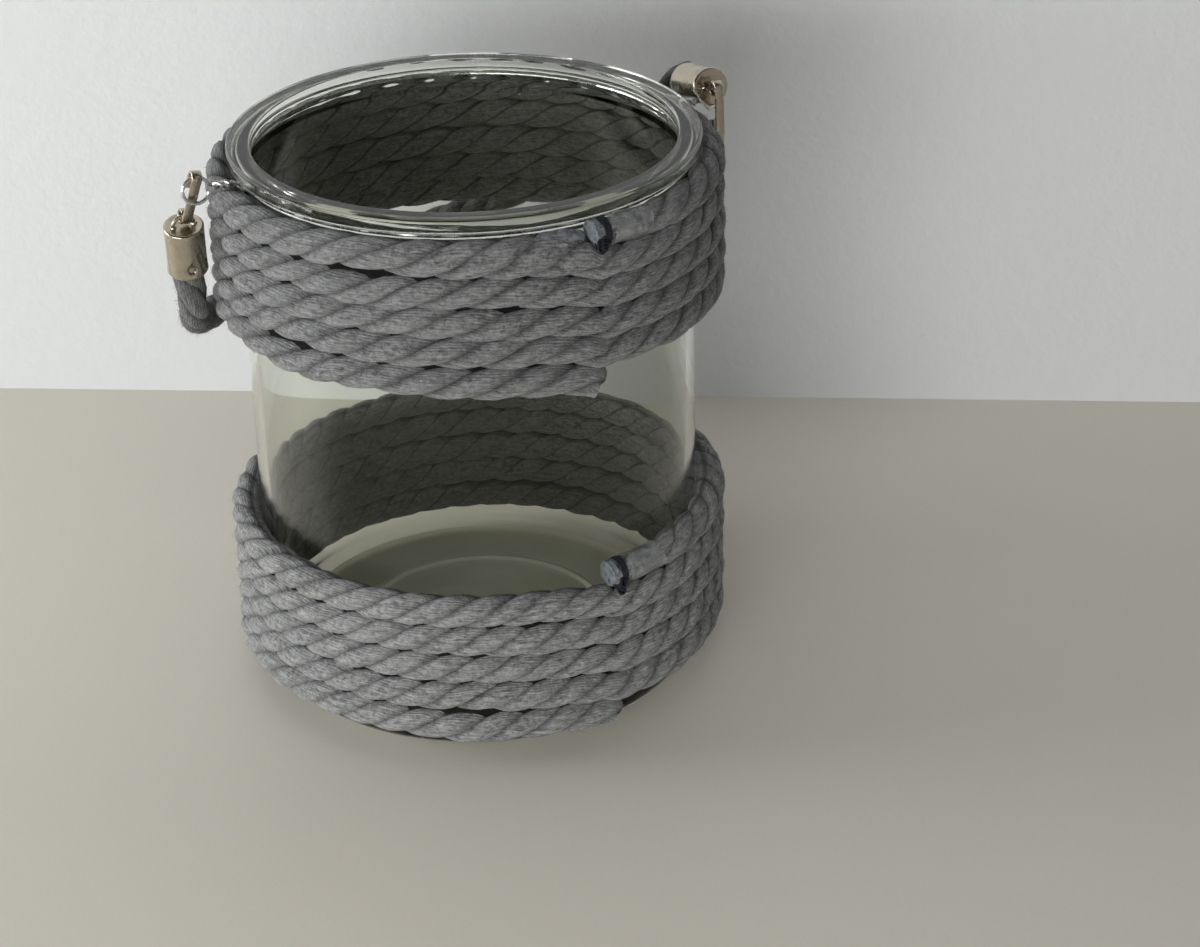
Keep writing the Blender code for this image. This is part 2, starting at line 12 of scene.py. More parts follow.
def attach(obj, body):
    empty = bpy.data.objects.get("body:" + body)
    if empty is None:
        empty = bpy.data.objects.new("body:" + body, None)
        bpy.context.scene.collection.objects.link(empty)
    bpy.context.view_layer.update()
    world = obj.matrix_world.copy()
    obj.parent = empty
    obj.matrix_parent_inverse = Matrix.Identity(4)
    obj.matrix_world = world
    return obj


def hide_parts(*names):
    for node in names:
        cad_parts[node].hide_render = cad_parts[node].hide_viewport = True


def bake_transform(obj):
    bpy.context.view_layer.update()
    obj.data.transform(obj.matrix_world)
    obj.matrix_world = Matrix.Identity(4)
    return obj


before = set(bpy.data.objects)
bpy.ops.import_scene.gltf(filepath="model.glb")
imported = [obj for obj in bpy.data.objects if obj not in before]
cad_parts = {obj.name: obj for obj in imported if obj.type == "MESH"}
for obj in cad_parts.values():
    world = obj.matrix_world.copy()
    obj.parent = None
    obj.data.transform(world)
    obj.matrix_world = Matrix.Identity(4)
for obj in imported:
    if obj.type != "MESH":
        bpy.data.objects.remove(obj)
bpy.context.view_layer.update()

bl_info = {
    "name": "Rope-bound glass jar",
    "version": (1, 0, 0),
    "blender": (4, 5, 0),
    "location": "View3D > Sidebar > Jar",
    "description": "Builds a glass jar wound with cotton rope, with a hooked rope handle",
    "category": "Object",
}

UP = Vector((0, 0, 1))
TINY = 1e-6

# Sizes shared with the solids, in metres.
JAR_HEIGHT = 0.178
BODY_RADIUS = 0.070
WALL = 0.0032
HEEL_RADIUS = 0.007
FLOOR_THICKNESS = 0.006
FLOOR_DOME = 0.0012
FLOOR_CORNER_RADIUS = 0.008
FLOOR_RING_RADIUS = 0.041
FLOOR_RING_WIDTH = 0.0035
FLOOR_RING_HEIGHT = 0.0007
LIP_RADIUS = 0.0724
MOUTH_RADIUS = 0.065
LIP_HEIGHT = 0.0044
LIP_ROUND = 0.0012
MOUTH_DEPTH = 0.0055
NECK_RADIUS = 0.0688
NECK_HEIGHT = 0.0045
SHOULDER_HEIGHT = 0.0035
NECK_BEVEL = 0.0004
# The floor's painted light, a pale diffuse tone that stands in for the light thick glass gathers, starts this
# far in from the wall and ends this far above the floor.
FLOOR_LIGHT_INSET = 0.004
FLOOR_LIGHT_HEIGHT = 0.0022

WINDING_STANDOFF = 0.0047
WINDING_RADIUS = BODY_RADIUS + WINDING_STANDOFF
WINDING_TURNS = 5
UPPER_RISE = 0.0093
# Start height, rise per turn, start angle, and how far a turn is lifted where it passes the start.
UPPER_FORM = (0.170 - WINDING_TURNS * UPPER_RISE, UPPER_RISE, radians(-83), 0.0052)
LOWER_FORM = (0.0086, 0.00985, radians(-80), 0.0042)
LIFT_END_SHARE = 0.5
# A rope's three strands, as shares of the rope's radius: how far out each lies, half its depth and half its
# width.
STRAND_REACH_SHARE = 0.43
STRAND_DEPTH_SHARE = 0.60
STRAND_WIDTH_SHARE = 0.66
STRAND_SIDES = 16
# How uneven the lay is, in turns, and the strands' size, spread and surface, as shares.
LAY_UNEVEN_TURNS = 0.045
STRAND_SWELL_SHARE = 0.16
STRAND_SPREAD_SHARE = 0.15
STRAND_LUMP_SHARE = 0.09
LAY_HAND = -1
POINTS_PER_LAY = 16
UV_LENGTH = 0.01
YARNS_ROUND = 22
YARN_LEAN = 1.45
FIBRE_RADIUS = 0.000035
FIBRE_LENGTH = 0.0021
WINDING_FIBRES = 14000
HANDLE_FIBRES = 2000
# A strand's crest starts at this share of the way out, and the grooves below it get painted shade. Cotton
# this far inside the row's line lies on the glass and gets painted shade at its seams; cotton this far in
# faces the glass and gets painted shade between the rows.
CREST_START_SHARE = 0.76
GLASS_SHADE_DEPTH = 0.0012
FACING_DEPTH = 0.0042
# Rows press on each other, the glass and the lip, and a dark core lies between them, coloured with painted
# shade.
ROW_SPREAD = 1.08
MOST_SPREAD = 1.6
TOP_ROW_REACH = 0.1732
GLASS_CLEARANCE = 0.0001
LIP_MARGIN = 0.0003
LIP_CLEARANCE = 0.0002
UNDER_LIP = JAR_HEIGHT - LIP_HEIGHT - LIP_CLEARANCE
FIRST_ROW_RISE = 0.0020
ROW_SWAY = 0.0009
ROW_LEAN = 0.0004
SETTLED_PER_TURN = 12
START_SWAY_SHARE = 0.2
CORE_SIDES = 12
CORE_STEP = 3
CORE_DEPTH = 0.0017
CORE_RISE = 0.0060
CORE_EDGE = 0.0038
CORE_END_SHARE = 0.3
CORE_START_POINTS = 12
CORE_END_POINTS = 40
# Where two rows stand apart: the lower row's place in turns, half the gap, and the gap's half length in
# turns.
UPPER_GAPS = ((3.144, 0.0012, 0.024), (0.197, 0.0012, 0.028), (2.06, 0.0007, 0.02))
LOWER_GAPS = ((0.094, 0.0010, 0.018), (2.90, 0.0006, 0.02), (3.05, 0.0006, 0.016))
TAPE_LENGTH = 0.014
TAPE_SEAT_RADIUS = 0.00415
TAPE_THICKNESS = 0.00022
TAPE_LAP = 0.00016
TAPE_LAP_SHARE = 0.4
TAPE_CRINKLE = 0.00026
TAPE_RAGGED_EDGE = 0.0011
TAPE_SIDES = 44
TAPE_SPACING = 0.0008
THREAD_WIDTH = 0.0026
THREAD_SETBACK = 0.0016
THREAD_TURNS = 4.5
THREAD_RADIUS = 0.00036
THREAD_SEAT_RADIUS = 0.0039
POINTS_PER_WRAP = 18
TAIL_STEP = 0.0006
TAIL_STEPS = 8
# The knot hangs on the thread's first turn, this far off the rope and back along it. Without a seed its noise
# would start from the clock, and each run would tie another knot.
KNOT_SEED = 267
KNOT_POINTS = 80
KNOT_SPREAD = 0.0038
KNOT_LIFT = 0.0003
KNOT_SETBACK = 0.0004
# Under the tape and thread the rope is drawn in to this share of its size, and fills out again in this run.
DRAWN_SHARE = 0.86
DRAWN_RUN = 0.005
TIP_RADIUS = 0.0039
TIP_LENGTH = 0.0032
TIP_SETBACK = 0.0020
SMEAR_SETBACK = radians(1.5)
SMEAR_HALF_LENGTH = 0.0085
SMEAR_INSET = 0.0006
SMEAR_DEPTH = 0.0026
SMEAR_RISE = 0.0031
SMEAR_HEIGHT = 0.1702
SMEAR_TILT = 0.0006

CAP_RADIUS = 0.0061
CAP_LENGTH = 0.017
CAP_WALL = 0.0007
CAP_CORNER = 0.0007
CAP_WAIST = 0.0001
CAP_MOUTH_ROUND = 0.0005
CAP_MOUTH_INSET = 0.0004
CAP_SIDE = CAP_LENGTH - CAP_CORNER - 2 * CAP_MOUTH_ROUND
CAP_FLOOR = 0.0014
# The cap's dished face, from its middle out: radius and depth.
CAP_FACE = ((0, 0.00022), (0.6 * CAP_RADIUS, 0.00020), (CAP_RADIUS - 0.0012, 0.00010))
BAIL_RADIUS = 0.0032
BAIL_FOOT_RADIUS = 0.0011
BAIL_FOOT_TOP_RADIUS = 0.0009
BAIL_FOOT_HEIGHT = 0.0005
BAIL_FOOT_RISE = 0.0001
# The stake drives a wide shallow dent into the cap and a narrow deep one, with painted shade at its bottom.
STAKE_SETBACK = 0.0032
DENT_REACH = 0.0045
DENT_DEPTH = 0.0006
DENT_WIDTH = 0.0022
STAKE_DEPTH = 0.0016
STAKE_WIDTH = 0.0010
HOLE_DEPTH = 0.0013
HOLE_RADIUS = 0.00125
HOOK_LENGTH = 0.0161
HOOK_RETURN = 0.0055
STRIP_WIDTH = 0.0031
STRIP_THICKNESS = 0.0008
STRIP_EDGE = 0.00016
BEND_RADIUS = 0.0017
EYE_RADIUS = 0.0020
HOOK_EYE_SWEEP = radians(285)

# The handle rope's route: both ends lie in the caps, the rest hangs behind the jar.
LEFT_SEAT = Vector((-0.084871, 0, 0.177446))
RIGHT_EYE = Vector((0.08531, 0, 0.177446))
RIGHT_LOW = Vector((0.08531, -0.001119, 0.162873))
# Directions as leaning() takes them: outward sign, lean sideways and lean backwards.
LEFT_DOWN = (-1, radians(8), radians(26))
LEFT_CAP_WAY = (1, radians(5), radians(16))
RIGHT_CAP_LEAN = radians(1)
RIGHT_CAP_DIP = radians(12)
RIGHT_HOOK_TURN = radians(6)
ROPE_STRAIGHT = 0.005
HANDLE_SPACING = 0.0026
# Points of the rope's end inside a cap.
INSIDE_STEP = 0.002
INSIDE_STEPS = 4
# Across, behind and above the swing's axis, as shares of the body radius.
HANDLE_ROUTE_SHARES = (
    (-1.207, 0.214, -0.676),
    (-1.150, 0.429, -0.840),
    (-1.021, 0.693, -0.947),
    (-0.821, 0.943, -1.004),
    (-0.564, 1.129, -1.033),
    (-0.250, 1.240, -1.026),
    (0.086, 1.271, -0.983),
    (0.414, 1.207, -0.897),
    (0.707, 1.064, -0.769),
    (0.943, 0.871, -0.604),
    (1.107, 0.664, -0.419),
)

# The photograph's camera in pixels of its picture, and how far the stage is turned against the jar.
PHOTO_WIDTH = 1200
FOCAL_PIXELS = 2665
CENTRE_SHIFT_PIXELS = (41.2, -120)
SENSOR_WIDTH = 36
CAMERA_PLACE = (0.02707, -0.7606, 0.4629)
CAMERA_PITCH = radians(25.391)
CAMERA_ROLL = radians(-1.38)
CAMERA_TURN = radians(-23)
NEAR_LIMIT = 0.01
WALL_TURN = radians(-4.62)
WALL_HALF_SIZE = 1.6
WALL_MIDDLE_HEIGHT = 1.5
FLOOR_HALF_SIZE = 4.0
# Each lamp: name, place, aim, width and height, power, colour, and whether shiny things mirror it.
LAMPS = (
    ("window", (-0.68, -0.98, 0.15), (0, 0.05, 0.08), (0.9, 0.5), 6.6, (0.97, 0.99, 1.0), True),
    ("side", (-1.15, 0.0, 0.28), (0, 0.05, 0.08), (0.5, 0.5), 7.1, (0.98, 0.99, 1.0), True),
    ("room", (-0.3, -1.2, 0.30), (0, 0.05, 0.09), (0.6, 0.5), 7.0, (1.0, 0.99, 0.97), False),
    ("high", (0.0, -1.2, 0.90), (0, 0.05, 0.09), (0.8, 0.8), 1.2, (1.0, 0.99, 0.97), False),
    ("right", (0.9, -0.7, 0.45), (0, 0.05, 0.09), (1.2, 1.0), 1.0, (1.0, 0.99, 0.96), True),
    ("ceiling", (-0.2, -0.1, 1.5), (0, 0, 0), (1.2, 0.9), 0.5, (1.0, 0.99, 0.97), True),
)
SKY_COLOUR = (0.86, 0.9, 0.95, 1)


class Glass(bpy.types.PropertyGroup):
    """The jar's glass."""
    tint: FloatVectorProperty(name="Tint", description="Colour that thick glass shows",
                              subtype="COLOR", size=3, default=(0.91, 0.925, 0.875), min=0, max=1)
    segments: IntProperty(name="Segments", description="Faces round the jar", default=160, min=24)


class Rope(bpy.types.PropertyGroup):
    """The twisted cotton rope."""
    # The upper winding's colour is darker than the lower winding's as painted shade, for the lesser light on
    # the upper winding. The handle's cotton is darker than both.
    upper_colour: FloatVectorProperty(name="Upper colour", description="Mean colour of the upper winding",
                                      subtype="COLOR", size=3, default=(0.160, 0.163, 0.164), min=0, max=1)
    lower_colour: FloatVectorProperty(name="Lower colour", description="Mean colour of the lower winding",
                                      subtype="COLOR", size=3, default=(0.220, 0.224, 0.222), min=0, max=1)
    handle_colour: FloatVectorProperty(name="Handle colour", description="Mean colour of the handle's cotton",
                                       subtype="COLOR", size=3, default=(0.105, 0.106, 0.106), min=0, max=1)
    upper_lay: FloatProperty(name="Upper lay", description="Length of one twist in the upper winding",
                             default=0.041, min=0.01, unit="LENGTH")
    lower_lay: FloatProperty(name="Lower lay", description="Length of one twist in the lower winding",
                             default=0.034, min=0.01, unit="LENGTH")
    fullness: FloatProperty(name="Fullness", description="Radius of a whole rope",
                            default=0.0047, min=0.001, unit="LENGTH")


class Fittings(bpy.types.PropertyGroup):
    """The plated caps, hooks and wire."""
    plating: FloatVectorProperty(name="Plating", description="Colour of the caps and hooks",
                                 subtype="COLOR", size=3, default=(0.58, 0.515, 0.415), min=0, max=1)
    wire: FloatVectorProperty(name="Wire", description="Colour of the collar wire",
                              subtype="COLOR", size=3, default=(0.70, 0.70, 0.69), min=0, max=1)


class Stage(bpy.types.PropertyGroup):
    """The studio."""
    floor: FloatVectorProperty(name="Floor", description="Colour of the floor", subtype="COLOR",
                               size=3, default=(0.73, 0.692, 0.61), min=0, max=1)
    wall: FloatVectorProperty(name="Wall", description="Colour of the wall", subtype="COLOR",
                              size=3, default=(0.677, 0.69, 0.697), min=0, max=1)
    wall_distance: FloatProperty(name="Wall distance", description="From the jar's axis to the wall",
                                 default=0.1792, min=0.1, unit="LENGTH")
    daylight: FloatProperty(name="Daylight", description="Strength of the light all round",
                            default=0.05, min=0)


# Shader maths

class Value:
    """A shader socket that Python's operators can work on."""

    def __init__(self, shader, socket):
        self.shader = shader
        self.socket = socket

    def calc(self, operation, *others):
        """Add a Math node."""
        return self.shader.node("ShaderNodeMath", {"operation": operation}, (self, *others))

    def __add__(self, other):
        return self.calc("ADD", other)

    __radd__ = __add__

    def __sub__(self, other):
        return self.calc("SUBTRACT", other)

    def __rsub__(self, other):
        return self.shader.node("ShaderNodeMath", {"operation": "SUBTRACT"}, (other, self))

    def __mul__(self, other):
        return self.calc("MULTIPLY", other)

    __rmul__ = __mul__


class Shader:
    """A material whose nodes are written as expressions."""

    def __init__(self, name):
        self.material = bpy.data.materials.new(name)
        self.material.use_nodes = True
        self.tree = self.material.node_tree
        self.surface = self.tree.nodes["Principled BSDF"]

    def node(self, kind, settings=None, inputs=(), output=0):
        """Add any node: its settings come first, then the values or links of its sockets."""
        made = self.tree.nodes.new(kind)
        for key, value in (settings or {}).items():
            setattr(made, key, value)
        pairs = inputs.items() if isinstance(inputs, dict) else enumerate(inputs)
        for key, value in pairs:
            self.feed(made.inputs[key], value)
        return Value(self, made.outputs[output])

    def feed(self, socket, value):
        """Link a value to a socket, or set it there."""
        if isinstance(value, Value):
            self.tree.links.new(value.socket, socket)
        elif hasattr(value, "__len__") and socket.type == "RGBA" and len(value) == 3:
            socket.default_value = (*value, 1)
        else:
            socket.default_value = value

    def set(self, **values):
        """Set or link sockets of the Principled shader, with _ for a space in a name."""
        for key, value in values.items():
            self.feed(self.surface.inputs[key.replace("_", " ")], value)
        return self.material

    def place(self, *scale):
        """Object coordinates, scaled."""
        at = self.node("ShaderNodeTexCoord", output=3)
        return self.node("ShaderNodeMapping", {}, {"Vector": at, "Scale": scale})

    def grain(self, vector, scale, detail=3.0, roughness=0.55):
        """Noise from 0 to 1."""
        return self.node("ShaderNodeTexNoise", {},
                         {"Vector": vector, "Scale": scale, "Detail": detail, "Roughness": roughness})

    def split(self, vector, axis):
        """One part of a vector."""
        return self.node("ShaderNodeSeparateXYZ", {}, (vector,), axis)

    def join(self, *parts):
        """A vector of three values."""
        return self.node("ShaderNodeCombineXYZ", {}, parts)

    def mix(self, share, first, second):
        """Mix two colours."""
        settings = {"data_type": "RGBA"}
        return self.node("ShaderNodeMix", settings, {0: share, 6: first, 7: second}, 2)

    def fit(self, value, low, high, to_low=0.0, to_high=1.0):
        """Map one range to another, with its ends held."""
        return self.node("ShaderNodeMapRange", {"clamp": True},
                         {"Value": value, 1: low, 2: high, 3: to_low, 4: to_high})

    def bump(self, height, distance, strength):
        """Turn a height into a normal."""
        return self.node("ShaderNodeBump", {},
                         {"Height": height, "Distance": distance, "Strength": strength})


def times(colour, share):
    """A colour made darker or lighter, no part of it above 1."""
    return [min(1.0, share * part) for part in colour]


def glass_material(tint):
    """Clear pressed glass with faint ripples in its wall."""
    made = Shader("clear_pressed_glass")
    ripple = made.grain(made.place(1, 1, 0.45), 42, 1.5)
    wave = made.grain(made.place(1, 1, 1), 12, 1.0)
    smear = made.grain(made.place(1, 1, 1), 60, 4)
    return made.set(Base_Color=tint, Roughness=made.fit(smear, 0.55, 0.75, 0.004, 0.022),
                    IOR=1.5, Transmission_Weight=1.0, Specular_Tint=(0.32, 0.32, 0.30),
                    Normal=made.bump(ripple * 0.4 + wave, 0.0002, 0.5))


def floor_glass_material():
    """The thick floor of the jar: green-tinted glass, partly a pale diffuse tone that is painted light for
    the light thick glass gathers.
    """
    made = Shader("thick_floor_glass_painted_light")
    ripple = made.grain(made.place(1, 1, 1), 34, 2.0)
    scuff = made.grain(made.place(1, 1, 1), 240, 4.0)
    tone = made.mix(made.fit(ripple, 0.35, 0.65), (0.93, 0.92, 0.70), (1.0, 0.99, 0.82))
    return made.set(Base_Color=tone, Roughness=made.fit(scuff, 0.35, 0.7, 0.06, 0.2),
                    IOR=1.5, Transmission_Weight=0.32, Coat_Weight=made.fit(scuff, 0.3, 0.7, 0.9, 0.5),
                    Coat_Roughness=0.05, Normal=made.bump(ripple, 0.0005, 0.6))


def cotton_material(name, colour, slant, shade_on_glass):
    """Soft-spun cotton: fine yarns that run with the rope, not with its strands, and dusty fibres.

    The grooves between strands and between yarns get painted shade, and so do the seams and row edges of the
    side that lies on the glass, as much as the last argument says.
    """
    made = Shader(name)
    at = made.node("ShaderNodeTexCoord", output=2)
    crest = made.node("ShaderNodeAttribute", {"attribute_name": "crest"}, output=2)
    glass_shade = made.node("ShaderNodeAttribute", {"attribute_name": "glass_shade"}, output=2)
    facing = made.node("ShaderNodeAttribute", {"attribute_name": "facing"}, output=2)
    across = made.split(at, 0)
    along = made.split(at, 1)
    wobble = made.grain(made.join(across * 2, along * 0.6, 0), 1.6, 2.0)
    turn = across * YARNS_ROUND + along * slant + wobble * 2.0
    yarn = (turn * tau).calc("SINE")
    streak = made.grain(made.join(turn * 0.8, along * 1.7, 0), 1.0, 3.0, 0.65)
    fibre = made.grain(made.join(turn * 2.6, along * 5.0, 0), 1.0, 3.0, 0.7)
    fine = made.grain(made.place(1, 1, 1), 2100, 3.0, 0.7)
    broad = made.grain(made.place(1, 1, 1), 34, 3.0, 0.6)
    mottle = made.grain(made.place(1, 1, 1), 700, 2.0, 0.6)
    tone = made.fit(streak * 0.34 + fibre * 0.28 + fine * 0.16 + mottle * 0.22, 0.42, 0.58, 0.0, 1.0)
    base = made.mix(tone, times(colour, 0.34), times(colour, 1.75))
    # Painted shade in the troughs between yarns.
    base = made.mix(made.fit(yarn, -1.0, -0.4, 0.22, 0.0), base, times(colour, 0.38))
    base = made.mix(made.fit(broad, 0.38, 0.66, 0.0, 0.26), base, times(colour, 1.22))
    fleck = made.fit(made.grain(made.join(turn * 0.7, along * 3.0, 4), 1.0, 1.0), 0.66, 0.73)
    base = made.mix(fleck * 0.5, base, times(colour, 2.1))
    inside = glass_shade * shade_on_glass
    # Painted shade in the grooves between strands: wide on the outside, at the narrow seams on the glass
    # side.
    seam = made.fit(crest, 0.08, 0.40, 1.0, 0.0)
    hollow_shade = made.fit(crest, 0.0, 0.8, 0.80, 0.0).calc("MAXIMUM", made.fit(crest, 0.04, 0.20, 0.97, 0.0))
    groove_shade = hollow_shade * (1 - inside) + seam * inside
    base = made.mix(groove_shade, base, times(colour, 0.10))
    # Painted shade on the side that lies on the glass, darkest between the rows.
    between_rows = made.fit(facing, 0.36, 0.66, 1.0, 0.0)
    shade = (seam + between_rows).calc("MINIMUM", 1.0) * 0.88 + 0.10
    base = made.mix(inside * shade, base, times(colour, 0.05))
    height = yarn * 0.2 + fibre * 1.0 + fine * 0.7 + streak * 0.8 + mottle * 0.8
    return made.set(Base_Color=base, Roughness=made.fit(fibre, 0.3, 0.7, 0.88, 1.0),
                    Sheen_Weight=0.2, Sheen_Roughness=0.6, Specular_IOR_Level=0.12,
                    Normal=made.bump(height, 0.00036, 1.0))


def fibre_material(name, colour):
    """Loose cotton fibres."""
    made = Shader(name)
    tone = made.grain(made.place(1, 1, 1), 300, 2.0)
    return made.set(Base_Color=made.mix(made.fit(tone, 0.35, 0.65), times(colour, 0.8), times(colour, 1.5)),
                    Roughness=made.fit(tone, 0.3, 0.7, 0.9, 1.0), Specular_IOR_Level=0.1)


def plated_material(name, colour, roughness):
    """Bright plating with fine draw lines, handling haze and small pits."""
    made = Shader(name)
    haze = made.grain(made.place(1, 1, 1), 260, 4.0)
    lines = made.grain(made.place(900, 900, 120), 1.0, 2.0)
    pit = made.fit(made.grain(made.place(1, 1, 1), 1100, 1.0), 0.70, 0.80)
    tone = made.mix(made.fit(haze, 0.35, 0.7) * 0.5, colour, times(colour, 0.72))
    tone = made.mix(pit * 0.5, tone, times(colour, 0.35))
    rough = made.fit(haze, 0.3, 0.75, roughness * 0.7, roughness * 1.8)
    return made.set(Base_Color=tone, Metallic=1.0, Roughness=rough,
                    Normal=made.bump(lines * 0.5 + haze - pit, 0.00003, 0.6))


def tape_material():
    """Clear tape gone slightly cloudy where air lies under it."""
    made = Shader("clear_wrapped_tape")
    cloud = made.grain(made.place(1, 1, 1), 380, 3.0)
    wrinkle = made.grain(made.place(1, 1, 0.3), 620, 2.0)
    tone = made.mix(made.fit(cloud, 0.35, 0.7), (0.26, 0.27, 0.27), (0.46, 0.48, 0.49))
    return made.set(Base_Color=tone, Roughness=made.fit(cloud, 0.3, 0.7, 0.10, 0.35),
                    Alpha=made.fit(cloud, 0.35, 0.72, 0.15, 0.50),
                    Coat_Weight=made.fit(wrinkle, 0.3, 0.6, 0.4, 1.0), Coat_Roughness=0.1,
                    Normal=made.bump(wrinkle, 0.00018, 0.8))


def thread_material():
    """Dark waxed thread."""
    made = Shader("navy_waxed_thread")
    ply = made.grain(made.place(1, 1, 1), 3000, 2.0)
    tone = made.mix(made.fit(ply, 0.3, 0.7), (0.003, 0.004, 0.007), (0.013, 0.016, 0.026))
    return made.set(Base_Color=tone, Roughness=made.fit(ply, 0.3, 0.7, 0.45, 0.8),
                    Normal=made.bump(ply, 0.0001, 0.7))


def tip_material():
    """The sealed end of a rope: fibres set hard in glue, pale blue-grey."""
    made = Shader("sealed_rope_tip")
    lump = made.grain(made.place(1, 1, 1), 700, 4.0)
    tone = made.mix(made.fit(lump, 0.35, 0.65), (0.10, 0.110, 0.121), (0.21, 0.229, 0.252))
    return made.set(Base_Color=tone, Roughness=made.fit(lump, 0.3, 0.7, 0.25, 0.6),
                    Normal=made.bump(lump, 0.0004, 0.8))


def painted_material(name, colour, scale, depth, roughness):
    """A plain painted surface with a little unevenness."""
    made = Shader(name)
    cloud = made.grain(made.place(1, 1, 1), scale, 4.0)
    broad = made.grain(made.place(1, 1, 1), 3.0, 2.0)
    tone = made.mix(made.fit(cloud * 0.4 + broad * 0.6, 0.3, 0.7), times(colour, 0.96), times(colour, 1.03))
    return made.set(Base_Color=tone, Roughness=roughness, Normal=made.bump(cloud, depth, 0.5))


def wall_material(colour):
    """Painted plaster that is clear from its back, so the wall hides nothing seen from behind it."""
    made = Shader("painted_wall")
    cloud = made.grain(made.place(1, 1, 1), 160, 4.0)
    made.set(Base_Color=colour, Roughness=0.85, Normal=made.bump(cloud, 0.0006, 0.5))
    back = made.node("ShaderNodeNewGeometry", output=6)
    clear = made.node("ShaderNodeBsdfTransparent")
    face = Value(made, made.surface.outputs[0])
    mixed = made.node("ShaderNodeMixShader", {}, (back, face, clear))
    made.feed(made.tree.nodes["Material Output"].inputs["Surface"], mixed)
    return made.material


# Mesh helpers

def placed(name, data):
    """Put an object for a mesh, lamp or camera into the scene."""
    item = bpy.data.objects.new(name, data)
    bpy.context.scene.collection.objects.link(item)
    return item


def finish_mesh(name, made, material, angle=radians(35), recalculate=True):
    """Turn a bmesh into a smooth-shaded object at the origin."""
    bmesh.ops.remove_doubles(made, verts=made.verts, dist=TINY)
    if recalculate:
        bmesh.ops.recalc_face_normals(made, faces=made.faces)
    mesh = bpy.data.meshes.new(name)
    made.to_mesh(mesh)
    made.free()
    mesh.shade_smooth()
    mesh.set_sharp_from_angle(angle=angle)
    mesh.materials.append(material)
    return placed(name, mesh)


def turned(outline, steps):
    """Spin an outline of (radius, height) points, from axis to axis, about Z."""
    made = bmesh.new()
    points = [made.verts.new((radius, 0, height)) for radius, height in outline]
    edges = [made.edges.new(pair) for pair in zip(points, points[1:])]
    bmesh.ops.spin(made, geom=points + edges, cent=(0, 0, 0), axis=(0, 0, 1),
                   angle=tau, steps=steps, use_merge=True)
    return made


def skin(made, rings, endless=False):
    """Join rings of corners with faces, and close the two ends, or join the last ring to the first."""
    for first, second in zip(rings, rings[1:] + (rings[:1] if endless else [])):
        for corner in range(len(first)):
            after = (corner + 1) % len(first)
            made.faces.new((first[corner], first[after], second[after], second[corner]))
    if not endless:
        made.faces.new(rings[0])
        made.faces.new(rings[-1])


def square_to(along, vector):
    """The part of a vector that is square to a direction, at unit length."""
    return (vector - vector.dot(along) * along).normalized()


def outward(place):
    """Level direction from the jar's axis to a place."""
    return Vector((place.x, place.y, 0)).normalized()


def any_vector(pick):
    """A random vector."""
    return Vector((pick.uniform(-1, 1), pick.uniform(-1, 1), pick.uniform(-1, 1)))


def arc(centre, radius, start, end, steps):
    """Points on an arc in a plane, both ends included."""
    for step in range(steps + 1):
        angle = start + (end - start) * step / steps
        yield (centre[0] + radius * cos(angle), centre[1] + radius * sin(angle))


def tube(name, lines, radius, material):
    """Round tubes with closed ends along lines of points, as one mesh with even UV lengths."""
    curve = bpy.data.curves.new(name, "CURVE")
    curve.dimensions = "3D"
    curve.bevel_depth = radius
    curve.bevel_resolution = 2
    curve.use_fill_caps = True
    curve.twist_mode = "MINIMUM"
    for line in lines:
        spline = curve.splines.new("POLY")
        spline.points.add(len(line) - 1)
        for point, place in zip(spline.points, line):
            point.co = (*place, 1)
    holder = placed(name, curve)
    bpy.context.view_layer.update()
    mesh = bpy.data.meshes.new_from_object(holder.evaluated_get(bpy.context.evaluated_depsgraph_get()))
    bpy.data.objects.remove(holder)
    length = max(sum((b - a).length for a, b in zip(line, line[1:])) for line in lines)
    for corner in mesh.uv_layers[0].data:
        corner.uv.y *= length / UV_LENGTH
    mesh.name = name
    mesh.materials.clear()
    mesh.materials.append(material)
    mesh.shade_smooth()
    mesh.set_sharp_from_angle(angle=radians(50))
    return placed(name, mesh)


def smooth_points(points, count):
    """Read points from a smooth curve through the given places."""
    dense = []
    ends = [2 * points[0] - points[1]] + list(points) + [2 * points[-1] - points[-2]]
    for first, second, third, fourth in zip(ends, ends[1:], ends[2:], ends[3:]):
        for step in range(count):
            share = step / count
            dense.append(0.5 * (2 * second + share * (third - first)
                                + share ** 2 * (2 * first - 5 * second + 4 * third - fourth)
                                + share ** 3 * (3 * second - first - 3 * third + fourth)))
    return dense + [points[-1].copy()]


def resampled(points, spacing):
    """Points at an even spacing along a dense line, and its length."""
    reach = [0.0]
    for before, after in zip(points, points[1:]):
        reach.append(reach[-1] + (after - before).length)
    steps = max(2, round(reach[-1] / spacing))
    picked = []
    index = 0
    for step in range(steps):
        wanted = reach[-1] * step / steps
        while reach[index + 1] < wanted:
            index += 1
        share = (wanted - reach[index]) / (reach[index + 1] - reach[index])
        picked.append(points[index].lerp(points[index + 1], share))
    return picked + [points[-1].copy()], reach[-1]


